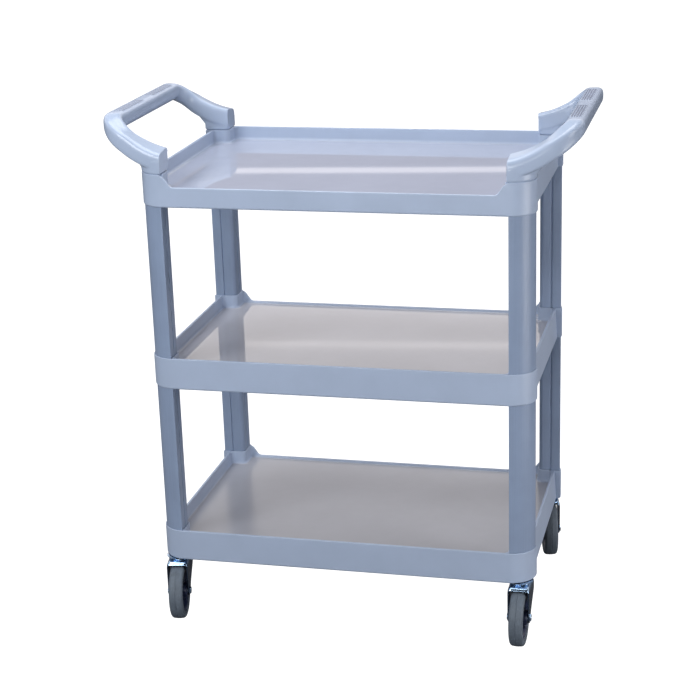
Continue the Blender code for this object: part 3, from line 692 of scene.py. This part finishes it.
def low_lip_cut():
    """Lowers the -Y wall between the corner blocks, with an eased ramp at each end. The cutter
    dips at the wall's two faces, so that the lip's edges come out round."""
    # The ramp's corners: (how far in from the block, height, rounding).
    corners = (
        (-0.0030, SHELF_HEIGHT + PAST, 0.0),
        (-0.0025, SHELF_HEIGHT - 0.0003, 0.0),
        (LIP_RAMP * 0.25, SHELF_HEIGHT - 0.0050, 0.006),
        (LIP_RAMP * 0.75, LOW_LIP_TOP + 0.0025, 0.006),
        (LIP_RAMP, LOW_LIP_TOP, 0.003),
    )
    ramp = [(inward - HALF_LENGTH + BLOCK_REACH, z) for inward, z, _ in corners]
    radii = [r for _, _, r in corners]
    profile = rounded(ramp + [(-x, z) for x, z in reversed(ramp)], radii + radii[::-1], 5)
    inner, outer, r = HALF_WIDTH - LONG_WALL, HALF_WIDTH, LIP_ROUND
    stations = [(inner - 0.002, r)]
    stations += [(inner + r * c, r * s) for s, c in round_shares(4)]
    stations += [(outer - r * c, r * s) for s, c in round_shares(4)[::-1]]
    stations += [(outer + PAST, r)]
    return loft("low_lip", [[(x, -y, z - dip) for x, z in profile] for y, dip in stations])


def tray_cutter():
    """What is cut from above: straight walls that run into the deck through a fillet and round
    over at their top edge."""
    rings = []
    for s, c in round_shares(5):
        rings.append(at_height(tray_outline(TRAY_FILLET * s), DECK_TOP + TRAY_FILLET * c))
    for s, c in round_shares(4):
        rings.append(at_height(tray_outline(-EDGE_ROUND * c), SHELF_HEIGHT - EDGE_ROUND * s))
    rings.append(at_height(tray_outline(-EDGE_ROUND), SHELF_HEIGHT + PAST))
    return loft("tray", rings)


def shelf_blank():
    """The outer skin, with rounded lower and upper edges."""
    rings = []
    for s, c in round_shares(4):
        rings.append(at_height(shelf_outline(LOWER_EDGE * s), LOWER_EDGE * c))
    for s, c in round_shares(4):
        rings.append(at_height(shelf_outline(EDGE_ROUND * c), SHELF_HEIGHT - EDGE_ROUND * s))
    return loft("shelf_blank", rings)


def rib_meshes():
    """The grid under the deck, with its cross ribs a little higher than its long ones."""
    top = DECK_TOP - DECK_THICKNESS / 2
    half_x = HALF_LENGTH - END_INSET_TOP - END_WALL / 2
    half_y = HALF_WIDTH - LONG_WALL / 2
    half = RIB_THICKNESS / 2
    ribs = []
    for i in range(LONG_RIBS):
        y = -half_y + 2 * half_y * (i + 1) / (LONG_RIBS + 1)
        ribs.append((-half_x, y - half, half_x, y + half, 0.0))
    for i in range(CROSS_RIBS):
        x = -half_x + 2 * half_x * (i + 1) / (CROSS_RIBS + 1)
        ribs.append((x - half, -half_y, x + half, half_y, RIB_STAGGER))
    return [
        plate("rib", [(x0, y0), (x1, y0), (x1, y1), (x0, y1)], RIB_BOTTOM + lift, top + lift)
        for x0, y0, x1, y1, lift in ribs
    ]


def standing_at(z, turn):
    """Places a local frame on the body's middle, at height z and turned about Z."""
    return Matrix.Translation((0.0, BODY_Y, z)) @ Matrix.Rotation(turn, 4, "Z")


def stem_axis(corner):
    """The swivel axis of the corner's caster, in a shelf's own frame."""
    x, y, _ = joints[f"{corner}_swivel"]["pos_m"]
    return x, y - BODY_Y


def shelf_mesh():
    steps = [
        (CUT, tray_cutter()),
        (CUT, plate("under", tray_outline(0.0), -PAST, DECK_TOP - DECK_THICKNESS)),
        (CUT, end_notch(1)),
        (CUT, end_notch(-1)),
        (CUT, low_lip_cut()),
    ]
    steps += [(ADD, mesh) for mesh in rib_meshes()]
    socket = quarter_round(POST_INSET - GAP, POST_REACH + GAP, POST_INNER_RADIUS)
    for corner in CORNERS:
        hole = in_corner(socket, corner)
        mouth = widened(hole, SOCKET_FLARE)
        below = ((mouth, -PAST), (mouth, 0.0), (hole, SOCKET_FLARE), (hole, SOCKET_WEB_BOTTOM))
        above = (
            (hole, DECK_TOP), (hole, SHELF_HEIGHT - SOCKET_FLARE),
            (mouth, SHELF_HEIGHT), (mouth, SHELF_HEIGHT + PAST),
        )
        for levels in (below, above):
            rings = [at_height(ring, z) for ring, z in levels]
            steps.append((CUT, loft("socket", rings)))
        ring = circle(SCREW_HOLE, 16, stem_axis(corner))
        steps.append((CUT, plate("screw_hole", ring, *SCREW_HOLE_SPAN)))
    return combine("shelf_moulding", shelf_blank(), steps)


def build_shelves():
    """One moulding three times, the lower two turned half round, with the high wall in front."""
    mesh = smooth_by_angle(shelf_mesh(), 30.0)
    for level, turn in (("bottom", pi), ("middle", pi), ("top", 0.0)):
        node = f"{level}_shelf"
        place = standing_at(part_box(node)[0].z, turn)
        look = shelf_plastics[level]
        obj = add_piece(
            f"{node}_moulding", mesh.copy(), look, BODY, node, place
        )
        flat_faces(obj)
    bpy.data.meshes.remove(mesh)


# ---- posts

def build_posts():
    """Hollow extruded posts, each between the web it stands on and the web above it."""
    outer = quarter_round(POST_INSET, POST_REACH, POST_INNER_RADIUS, grooved=True)
    outer = rounded(outer, POST_EDGE_ROUND, 3)
    inner = quarter_round(
        POST_INSET + POST_WALL, POST_REACH - POST_WALL, POST_INNER_RADIUS - POST_WALL / 2
    )
    for word in ("lower", "upper"):
        for corner in CORNERS:
            node = f"{corner}_{word}_post"
            low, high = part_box(node)
            skin = plate(node, in_corner(outer, corner), low.z, high.z)
            bore = plate(node, in_corner(inner, corner), low.z - PAST, high.z + PAST)
            mesh = combine(f"{node}_tube", skin, [(CUT, bore)])
            mesh.transform(Matrix.Translation((0.0, BODY_Y, 0.0)))
            smooth_by_angle(mesh, 34.0)
            add_piece(f"{node}_profile", mesh, post_plastic, BODY, node)


# ---- push handles

def arm_height(x):
    t = (x - ARM_START) / (BAR_CENTRE_X - ARM_START)
    rise = ARM_RISE_EARLY * t + (1 - ARM_RISE_EARLY) * max(0.0, t) ** ARM_RISE_POWER
    return ARM_START_Z + (BAR_CENTRE_Z - ARM_START_Z) * rise


def handle_stations():
    """(point, direction) pairs along the middle line, from the base to the middle of the bar."""
    lean_in = radians(ARM_CONVERGENCE)
    radius = HANDLE_CORNER_RADIUS
    start_y = HALF_WIDTH - ARM_WIDTH / 2 - GAP
    turn_x = BAR_CENTRE_X - radius * (1 - sin(lean_in))
    turn_y = start_y - (turn_x - ARM_START) * tan(lean_in)
    plan = []
    for i in range(ARM_STEPS):
        x = ARM_START + (turn_x - ARM_START) * i / ARM_STEPS
        plan.append((x, start_y - (x - ARM_START) * tan(lean_in)))
    centre = (BAR_CENTRE_X - radius, turn_y - radius * cos(lean_in))
    plan += arc(centre, radius, 90 - ARM_CONVERGENCE, 0, CORNER_STEPS)
    plan += [(BAR_CENTRE_X, plan[-1][1] * 0.5), (BAR_CENTRE_X, 0.0)]
    points = [Vector((x, y, arm_height(x))) for x, y in plan]
    around = zip(points[:1] + points, points[1:] + points[-1:])
    directions = [(after - before).normalized() for before, after in around]
    directions[0] = Vector((1.0, 0.0, 0.0))
    directions[-2:] = [Vector((0.0, -1.0, 0.0))] * 2
    return list(zip(points, directions))


def reach_of(polygon, angle):
    """How far the polygon's edge lies from the centre in one direction."""
    ray = Vector((cos(angle), sin(angle)))
    best = 0.0
    for i, point in enumerate(polygon):
        a = Vector(polygon[i - 1])
        side = Vector(point) - a
        cross = ray.x * side.y - ray.y * side.x
        if abs(cross) < 1e-12:
            continue
        along = (a.x * side.y - a.y * side.x) / cross
        share = (a.x * ray.y - a.y * ray.x) / cross
        if along > 0 and -1e-6 <= share <= 1 + 1e-6:
            best = max(best, along)
    return best


def handle_section(width, thickness, t, count=44):
    """Section across the handle: a flat-sided arm at t = 0, a rounder, flat-topped bar at t = 1."""
    w, h = width / 2, thickness / 2
    slope = ARM_TOP_SLOPE * (1 - t)
    arm = rounded([(w, -h), (w, h), (-w, h - slope), (-w, -h)], ARM_CORNER_ROUNDS, 6)
    bar = rounded([(w, -h), (w, h), (-w, h), (-w, -h)], BAR_CORNER_ROUNDS, 6)
    points = []
    for i in range(count):
        angle = tau * (i + 0.5) / count
        reach = reach_of(arm, angle) * (1 - t) + reach_of(bar, angle) * t
        points.append((reach * cos(angle), reach * sin(angle)))
    return points


def handle_loop():
    """Both arms and the bar, as one loft that mirrors itself at the middle of the bar."""
    stations = handle_stations()
    length = [0.0]
    for (a, _), (b, _) in zip(stations, stations[1:]):
        length.append(length[-1] + (b - a).length)
    rings = []
    for (point, direction), along in zip(stations, length):
        t = smooth_step(along / length[-3])
        width = ARM_WIDTH + (BAR_WIDTH - ARM_WIDTH) * t
        thickness = ARM_THICKNESS + (BAR_THICKNESS - ARM_THICKNESS) * t
        up = Vector((0.0, 0.0, 1.0))
        up = (up - up.dot(direction) * direction).normalized()
        across = direction.cross(up)
        rings.append([point + across * a + up * b for a, b in handle_section(width, thickness, t)])
    other = [[Vector((p.x, -p.y, p.z)) for p in ring] for ring in reversed(rings[:-1])]
    return loft("handle_loop", rings + other)


def handle_mesh():
    """The handle at the +X end, with its base blocks on z = 0 and its spigots below."""
    block = quarter_round(0.0, BLOCK_REACH, BLOCK_INNER_RADIUS)
    gusset = quarter_round(*GUSSET_OUTLINE)
    spigot = quarter_round(POST_INSET, POST_REACH, POST_INNER_RADIUS)
    shells = [handle_loop()]
    for corner in ("front_right", "rear_right"):
        toe_in = -CORNERS[corner][1] * GUSSET_TOE_IN
        lean = Matrix(((1, 0, GUSSET_LEAN, 0), (0, 1, toe_in, 0), (0, 0, 1, 0), (0, 0, 0, 1)))
        for outline, low, high, turn in (
            (block, BASE_BOTTOM, BASE_TOP, None),
            (gusset, GUSSET_BOTTOM, GUSSET_TOP, lean),
            (spigot, SPIGOT_BOTTOM, SPIGOT_TOP, None),
        ):
            shells.append(plate("shell", in_corner(outline, corner), low, high, turn))
    obj = new_object("handle_blank", joined("handle_shells", shells))
    remesh = obj.modifiers.new("merge", "REMESH")
    remesh.mode = "VOXEL"
    remesh.voxel_size = HANDLE_VOXEL
    smooth = obj.modifiers.new("ease", "SMOOTH")
    smooth.factor = 0.5
    smooth.iterations = HANDLE_SMOOTHING
    mesh = evaluated(obj, "handle_moulding")
    mesh.shade_smooth()
    return mesh


def top_of(tree, x, y):
    """Height of the handle's top surface at x, y."""
    hit, _, _, _ = tree.ray_cast(Vector((x, y, 1.0)), Vector((0.0, 0.0, -1.0)))
    return hit.z


def across_bar(index, count):
    """The x of one of so many lines, a ridge's pitch apart, along the bar."""
    return BAR_CENTRE_X + RIDGE_PITCH * (index - (count - 1) / 2 + RIDGE_OUTWARD)


def ridge_mesh(tree):
    """Grip ridges along the top of the bar, in two groups."""
    shells = []
    for k in range(RIDGE_COUNT):
        x = across_bar(k, RIDGE_COUNT)
        for start, end in RIDGE_SPANS:
            stations = [(start + inset, share) for inset, share in RIDGE_TIPS]
            stations += [(start + (end - start) * i / 8, 1.0) for i in range(1, 8)]
            stations += [(end - inset, share) for inset, share in reversed(RIDGE_TIPS)]
            rings = []
            for y, share in stations:
                z = top_of(tree, x, y) - RIDGE_RADIUS * RIDGE_SINK
                ring = circle(RIDGE_RADIUS * share, 12, (x, z))
                rings.append([(a, y, b) for a, b in ring])
            shells.append(loft("ridge", rings))
    return joined("grip_ridges", shells)


def groove_shade_mesh(tree):
    """Dark strips laid in the hollows between the grip ridges: painted shade where the hollows fall
    dark.
    """
    shells = []
    half = BED_WIDTH / 2
    for k in range(RIDGE_COUNT - 1):
        x = across_bar(k, RIDGE_COUNT - 1)
        for start, end in RIDGE_SPANS:
            rings = []
            for i in range(13):
                y = start + BED_INSET + (end - start - 2 * BED_INSET) * i / 12
                top = [(a, top_of(tree, a, y) + BED_RAISE) for a in (x - half, x + half)]
                low = [(a, z - BED_DEPTH) for a, z in reversed(top)]
                rings.append([(a, y, z) for a, z in top + low])
            shells.append(loft("groove", rings))
    return joined("grip_groove_shades", shells)


def build_handles():
    mesh = handle_mesh()
    work = bmesh.new()
    work.from_mesh(mesh)
    tree = BVHTree.FromBMesh(work)
    work.free()
    ridges = ridge_mesh(tree)
    ridges.shade_smooth()
    shade_strips = groove_shade_mesh(tree)
    block_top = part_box("top_shelf")[1].z + GAP
    for name, turn in (("right_handle", 0.0), ("left_handle", pi)):
        # The grip groove strips are painted shade between the ridges.
        for word, part, look, node in (
            ("moulding", mesh, handle_plastic, name),
            ("grip_ridges", ridges, handle_plastic, None),
            ("grip_groove_shades", shade_strips, groove_shade_plastic, None),
        ):
            place = standing_at(block_top, turn)
            add_piece(f"{name}_{word}", part, look, BODY, node, place)


# ---- casters

def leg_bottom(y, trail, axle_z):
    """Lower edge of a fork leg: a round boss at the axle, then a taper up to the rear."""
    from_axle = y + trail
    tangent = FORK_BOSS * FORK_BOSS_TANGENT
    if from_axle <= tangent:
        return axle_z - sqrt(max(0.0, FORK_BOSS ** 2 - from_axle ** 2))
    t = (from_axle - tangent) / (FORK_REAR + trail - tangent)
    low = axle_z - FORK_BOSS * FORK_BOSS_EDGE
    return low + (FORK_TAIL_LOW - low) * t ** FORK_TAIL_CURVE


def crown_dip(y):
    """How far the crown bends down towards its front and rear edges."""
    (nose, nose_length), (tail, tail_length) = FORK_NOSE_DIP, FORK_TAIL_DIP
    dip = nose * max(0.0, 1.0 - (y - FORK_FRONT) / nose_length) ** 2
    return dip + tail * max(0.0, 1.0 - (FORK_REAR - y) / tail_length) ** 2


def fork_mesh(trail, axle_z):
    """One pressed sheet: a crown, a bend each side, and two legs that flare at the rear."""
    top = CROWN_TOP - FORK_SHEET / 2
    inner = FORK_INSIDE / 2 + FORK_SHEET / 2
    taper_start = FORK_BOSS * 1.1 - trail
    lengths = [FORK_FRONT, FORK_FRONT + 0.0005]
    lengths += [FORK_BOSS * sin(radians(a)) - trail for a in range(-80, 81, 16)]
    lengths += [taper_start + (FORK_REAR - taper_start) * k / 9 for k in range(1, 9)]
    lengths += [FORK_REAR - 0.0006, FORK_REAR]
    work = bmesh.new()
    rows = []
    for y in sorted(lengths):
        side = inner + FORK_FLARE * smooth_step((y - taper_start) / (FORK_REAR - taper_start))
        crown = top - crown_dip(y)
        bottom = leg_bottom(y, trail, axle_z)
        centre = (side - FORK_BEND, crown - FORK_BEND)
        half = [(0.0, crown), (centre[0] / 2, crown)]
        half += reversed(arc(centre, FORK_BEND, 0, 90, 7))
        half += [(side, centre[1] + (bottom - centre[1]) * k / 5) for k in range(1, 6)]
        row = [(-a, b) for a, b in reversed(half[1:])] + half
        rows.append([work.verts.new((a, y, b)) for a, b in row])
    for first, second in zip(rows, rows[1:]):
        for i in range(len(first) - 1):
            work.faces.new((first[i], first[i + 1], second[i + 1], second[i]))
    sheet = new_object("fork_sheet", mesh_from(work, "fork_sheet"))
    solidify = sheet.modifiers.new("thickness", "SOLIDIFY")
    solidify.thickness = FORK_SHEET
    solidify.offset = 0.0
    solidify.use_even_offset = True
    solid = evaluated(sheet, "fork_solid")
    pin_hole = plate("pin_hole", circle(PIN_RADIUS + GAP, 32), 0.09, 0.12)
    across = Matrix.Translation((0.0, -trail, axle_z)) @ Matrix.Rotation(pi / 2, 4, "Y")
    axle_hole = plate("axle_hole", circle(AXLE_RADIUS + GAP, 32), -0.05, 0.05, across)
    return combine("caster_fork", solid, [(CUT, pin_hole), (CUT, axle_hole)])


def mirrored(upper):
    """A closed wheel profile from its upper half."""
    return upper + [(r, -z) for r, z in reversed(upper)]


def tyre_mesh(radius):
    """Solid tread with rounded shoulders, side bands and a parting line round its middle."""
    half = TYRE_WIDTH / 2
    outer, inner = radius, TYRE_INNER_RADIUS
    upper = [(inner, half - 0.002), (inner + 0.0015, half - 0.0004)]
    upper += [(inner + 0.0035, half - 0.0004), (inner + 0.0042, half)]
    upper += arc((outer - TREAD_ROUND - 0.0006, half - TREAD_ROUND), TREAD_ROUND, 90, 8, 8)
    upper += [(outer - 0.0001, 0.0014), (outer, 0.0009), (outer - PARTING_GROOVE, 0.0005)]
    return spun("tyre", mirrored(upper), 96, closed=True)


def core_mesh():
    """Hub, dished web with ribs, and rim, with the bore that runs on the axle sleeve."""
    half, hub_half, web_half = TYRE_WIDTH / 2, HUB_LENGTH / 2, CORE_WEB / 2
    outer = TYRE_INNER_RADIUS - GAP
    rim = outer - CORE_RIM
    bore = SLEEVE_RADIUS + GAP
    upper = [
        (bore, hub_half - 0.0006), (bore + 0.0006, hub_half),
        (HUB_RADIUS - 0.0008, hub_half), (HUB_RADIUS, hub_half - 0.0008),
        (HUB_RADIUS + 0.0006, web_half + 0.0016), (HUB_RADIUS + 0.0022, web_half),
        (rim - 0.0036, web_half), (rim - 0.0016, web_half + 0.0012),
        (rim, half - 0.0032), (rim + 0.0008, half - 0.0025), (outer, half - 0.0025),
    ]
    shells = [spun("core", mirrored(upper), 72, closed=True)]
    near, far = HUB_RADIUS - SPOKE_OVERLAP, rim + SPOKE_OVERLAP
    side = [(far, SPOKE_RIM_HALF), (near, SPOKE_HUB_HALF)]
    spoke = rounded([(x, -y) for x, y in reversed(side)] + side, 0.0003, 2)
    for k in range(CORE_SPOKES):
        turn = Matrix.Rotation(tau * (k + 0.5) / CORE_SPOKES, 4, "Z")
        shells.append(plate("spoke", spoke, -half + SPOKE_SINK, half - SPOKE_SINK, turn))
    return joined("wheel_core", shells)


def bolt_mesh():
    """Axle bolt about local Z: domed head at the low end, shank and threaded end with a chamfer."""
    face = FORK_INSIDE / 2 + FORK_SHEET + GAP
    end = face + HEAD_HEIGHT + 0.0004
    profile = [(0.0, end), (AXLE_RADIUS * 0.78, end), (AXLE_RADIUS, end - 0.0008)]
    z = end - 0.0010
    while z > face - 0.004:
        profile.append((AXLE_RADIUS * THREAD_ROOT, z - THREAD_PITCH / 2))
        profile.append((AXLE_RADIUS, z - THREAD_PITCH))
        z -= THREAD_PITCH
    profile += [(AXLE_RADIUS, -face), (HEAD_RADIUS - 0.0003, -face), (HEAD_RADIUS, -face - 0.0003)]
    for r, h in ((1.0, 0.42), (0.90, 0.70), (0.68, 0.90), (0.36, 1.0), (0.0, 1.0)):
        profile.append((HEAD_RADIUS * r, -face - HEAD_HEIGHT * h))
    return spun("axle_bolt", profile, 40)


def nut_mesh():
    """Thin hexagon nut with its outer corners chamfered."""
    low = FORK_INSIDE / 2 + FORK_SHEET + GAP
    high = low + HEAD_HEIGHT
    angles = [tau * k / NUT_STEPS for k in range(NUT_STEPS)]
    flat = HEAD_RADIUS * cos(pi / 6)
    hexagon = [flat / cos(a % (pi / 3) - pi / 6) for a in angles]
    rings = []
    for cap, z in (
        (HEAD_RADIUS, low), (HEAD_RADIUS, low + HEAD_HEIGHT * 0.6),
        (HEAD_RADIUS * 0.90, high), (AXLE_RADIUS + 0.0008, high),
        (AXLE_RADIUS + GAP, high - 0.0005), (AXLE_RADIUS + GAP, low),
    ):
        radii = [min(cap, r) for r in hexagon]
        rings.append([(r * cos(a), r * sin(a), z) for r, a in zip(radii, angles)])
    return loft("axle_nut", rings, closed=True)


def stem_mesh():
    """Stem, domed race cap, king pin and its riveted head, in heights from the floor."""
    pin_low = CROWN_TOP - FORK_SHEET - GAP
    cap_low = CROWN_TOP + RACE_HEIGHT
    top = SHELF_BOTTOM
    profile = [
        (0.0, top + STEM_TOP), (STEM_RADIUS * 0.7, top + STEM_TOP),
        (STEM_RADIUS, top + STEM_TOP - 0.0015), (STEM_RADIUS, top - 0.0004),
        (RACE_RADIUS - 0.0040, top - 0.0004), (RACE_RADIUS - 0.0022, top - 0.0007),
        (RACE_RADIUS - 0.0008, top - 0.0014), (RACE_RADIUS - 0.0001, cap_low + 0.0010),
        (RACE_RADIUS, cap_low + 0.0004), (RACE_RADIUS - 0.0004, cap_low),
        (PIN_RADIUS + 0.0005, cap_low), (PIN_RADIUS, cap_low - 0.0003), (PIN_RADIUS, pin_low),
    ]
    for r, h in ((1.0, 0.0), (0.97, 0.4), (0.80, 0.75), (0.45, 1.0), (0.0, 1.0)):
        profile.append((PIN_CAP_RADIUS * r, pin_low - PIN_CAP_HEIGHT * h))
    return spun("caster_stem", profile, 64)


def race_mesh():
    """The rolled ring between the fork's crown and the race cap."""
    low, high = CROWN_TOP + GAP, CROWN_TOP + RACE_HEIGHT - GAP
    inner, outer = PIN_RADIUS + 0.002, RACE_RADIUS - 0.002
    middle, half = (low + high) / 2, (high - low) / 2
    profile = [(inner + 0.0003, high), (outer - half, high)]
    profile += arc((outer - half, middle), half, 60, -60, 6)
    profile += [(outer - half, low), (inner + 0.0003, low)]
    profile += [(inner, low + 0.0003), (inner, high - 0.0003)]
    return spun("ball_race", profile, 64, closed=True)


def build_casters():
    swivel, spin = joints["front_right_swivel"], joints["front_right_wheel_spin"]
    trail = (Vector(swivel["pos_m"]).xy - Vector(spin["pos_m"]).xy).length
    radius = spin["pos_m"][2]
    # Part, last word of its piece's name, mesh, smoothing angle, material, slot, body.
    parts = (
        ("caster_stem", "turned", stem_mesh(), 38.0, zinc, "zinc_steel", BODY),
        ("caster_fork", "pressing", fork_mesh(trail, radius), None, chrome, "chrome", "fork"),
        ("ball_race", "ring", race_mesh(), 38.0, zinc, "zinc_steel", "fork"),
        ("axle_bolt", "turned", bolt_mesh(), 38.0, zinc, "zinc_steel", "fork"),
        ("axle_nut", "hexagon", nut_mesh(), 20.0, zinc, "zinc_steel", "fork"),
        ("wheel_core", "moulding", core_mesh(), 38.0, core_plastic, "wheel_core", "wheel"),
        ("tyre", "tread", tyre_mesh(radius), 45.0, rubber, "tyre_rubber", "wheel"),
    )
    for corner in CORNERS:
        swivel, spin = joints[f"{corner}_swivel"], joints[f"{corner}_wheel_spin"]
        yaw = Matrix.Rotation(atan2(spin["axis"][1], spin["axis"][0]), 4, "Z")
        x, y, _ = swivel["pos_m"]
        at_swivel = Matrix.Translation((x, y, 0.0)) @ yaw
        on_axle = Matrix.Translation(spin["pos_m"]) @ yaw @ Matrix.Rotation(pi / 2, 4, "Y")
        for part, word, mesh, angle, material, slot, body in parts:
            node = f"{corner}_{part}"
            body = body if body == BODY else f"{corner}_{body}"
            mesh = mesh.copy()
            mesh.transform(on_axle if part in ON_AXLE else at_swivel)
            obj = add_piece(f"{node}_{word}", mesh, material, body, node)
            if angle:
                smooth_by_angle(mesh, angle)
            else:
                soft_edges(obj, FORK_EDGE_ROUND)


def dress_hidden_nodes():
    """The CAD nodes that stay: screws, sockets and sleeves get the same finishes."""
    looks = {"handle_screw": zinc, "stem_socket": socket_plastic, "axle_sleeve": zinc}
    for corner in CORNERS:
        for word, material in looks.items():
            node = frame["nodes"][f"{corner}_{word}"]
            for slot in node.material_slots:
                slot.material = material


# ---- stage, lights and camera

FLOOR_RADIUS = 40.0
FLOOR_DEPTH = 0.02
FLOOR_TONES = ((0.16, 0.17, 0.19), (0.19, 0.195, 0.21))
FLOOR_GLOW = 1.65
FLOOR_GLOW_SHARE = 0.72

# The room's light, from the horizon up: (height of the direction, colour).
ROOM_STRENGTH = 0.41
ROOM_TONES = (
    (0.00, (0.60, 0.58, 0.60)),
    (0.23, (0.66, 0.58, 0.64)),
    (0.29, (3.45, 3.22, 3.12)),
    (0.45, (2.60, 2.50, 2.48)),
    (0.62, (0.75, 0.77, 0.82)),
    (1.00, (0.60, 0.65, 0.72)),
)
# The front of the room has this share of the back's light, with the change over this Y range.
ROOM_FRONT_SHARE = 0.13
ROOM_TURN = 0.35

# Soft lights: name, place, what they face, size, watts, colour.
LIGHTS = (
    ("front_box", (-0.95, -1.75, 1.85), (0.0, 0.0, 0.7), (1.3, 0.9), 31.0, (0.98, 0.99, 1.0)),
    ("front_mid_box", (0.05, -2.70, 0.85), (0.0, 0.0, 0.60), (1.2, 0.5), 17.0, (0.98, 0.99, 1.0)),
    ("overhead_box", (-0.2, 0.3, 2.9), (0.0, 0.0, 0.5), (2.2, 1.6), 46.0, (1.0, 1.0, 1.0)),
    ("right_box", (2.5, -0.7, 1.35), (0.3, 0.0, 0.6), (0.8, 1.3), 12.0, (1.0, 0.98, 0.97)),
    ("right_low_box", (1.7, -0.45, 0.30), (0.3, 0.0, 0.35), (0.9, 0.5), 7.0, (1.0, 0.98, 0.97)),
    ("back_strip", (-0.45, 2.95, 1.433), (-0.1, 0, 0.75), (1.42, 0.018), 0.075, (1.0, 0.95, 0.93)),
)

# The camera: its place, from the body's middle, and the way its right, up and back sides face.
CAMERA_PLACE = (0.6848, -2.8697, 1.4127)
CAMERA_SIDES = (
    (0.97249, 0.23098, -0.03038),
    (-0.04389, 0.30971, 0.94982),
    (0.22879, -0.92235, 0.31133),
)
CAMERA_LENS = 89.88


def build_floor():
    """A pale floor, which reads as clean white round the object."""
    mesh = plate("studio_floor", circle(FLOOR_RADIUS, 64), -FLOOR_DEPTH, 0.0)
    n = new_look("studio_floor_look")
    n.link(n.mixed(n.noise(0.8, 3.0), *FLOOR_TONES), n.shader.inputs["Base Color"])
    n.shader.inputs["Roughness"].default_value = 0.8
    n.shader.inputs["Specular IOR Level"].default_value = 0.0
    glow = n.add("ShaderNodeEmission", {"Strength": FLOOR_GLOW})
    seen = n.add("ShaderNodeLightPath").outputs["Is Camera Ray"]
    share = n.product(seen, FLOOR_GLOW_SHARE)
    n.mix_shaders(share, n.shader.outputs[0], glow.outputs[0], "Material Output")
    mesh.materials.append(n.owner)
    new_object("studio_floor", mesh)


def build_room():
    """Soft light from all round, brighter behind the object, in front of a plain white ground."""
    world = bpy.data.worlds.new("soft_room")
    bpy.context.scene.world = world
    n = Nodes(world)
    direction = n.coordinates["Generated"]
    ramp = n.add("ShaderNodeValToRGB", {"Fac": n.part_of(direction, "Z")})
    elements = ramp.color_ramp.elements
    for _ in ROOM_TONES[2:]:
        elements.new(0.5)
    for element, (position, colour) in zip(elements, ROOM_TONES):
        element.position = position
        element.color = (*colour, 1.0)
    toward_back = n.ranged(n.part_of(direction, "Y"), -ROOM_TURN, ROOM_TURN, ROOM_FRONT_SHARE, 1.0)
    shaded = n.add("ShaderNodeVectorMath", {0: ramp.outputs["Color"]}, operation="SCALE")
    n.link(toward_back, shaded.inputs["Scale"])
    room = n.tree.nodes["Background"]
    room.inputs["Strength"].default_value = ROOM_STRENGTH
    n.link(shaded.outputs[0], room.inputs["Color"])
    plain = n.add("ShaderNodeBackground", {"Color": (1.0, 1.0, 1.0, 1.0), "Strength": 1.0})
    seen = n.add("ShaderNodeLightPath").outputs["Is Camera Ray"]
    n.mix_shaders(seen, room.outputs[0], plain.outputs[0], "World Output")


def build_lights():
    for name, place, target, size, power, colour in LIGHTS:
        data = bpy.data.lights.new(name, "AREA")
        data.shape = "RECTANGLE"
        data.size, data.size_y = size
        data.energy = power
        data.color = colour
        light = new_object(name, data)
        light.location = place
        light.rotation_euler = (Vector(target) - Vector(place)).to_track_quat("-Z", "Y").to_euler()
        light.visible_camera = False


def build_camera():
    """Long lens from the front, a little to the right and above."""
    data = bpy.data.cameras.new("studio_camera")
    data.sensor_width = 36.0
    data.lens = CAMERA_LENS
    data.clip_end = 200.0
    camera = new_object("studio_camera", data)
    x, y, z = CAMERA_PLACE
    turn = Matrix(CAMERA_SIDES).transposed().to_4x4()
    camera.matrix_world = Matrix.Translation((x, y + BODY_Y, z)) @ turn
    bpy.context.scene.camera = camera


build_camera()
build_floor()
build_room()
build_lights()
build_shelves()
build_posts()
build_handles()
build_casters()
dress_hidden_nodes()
bpy.context.scene.view_settings.view_transform = "Standard"
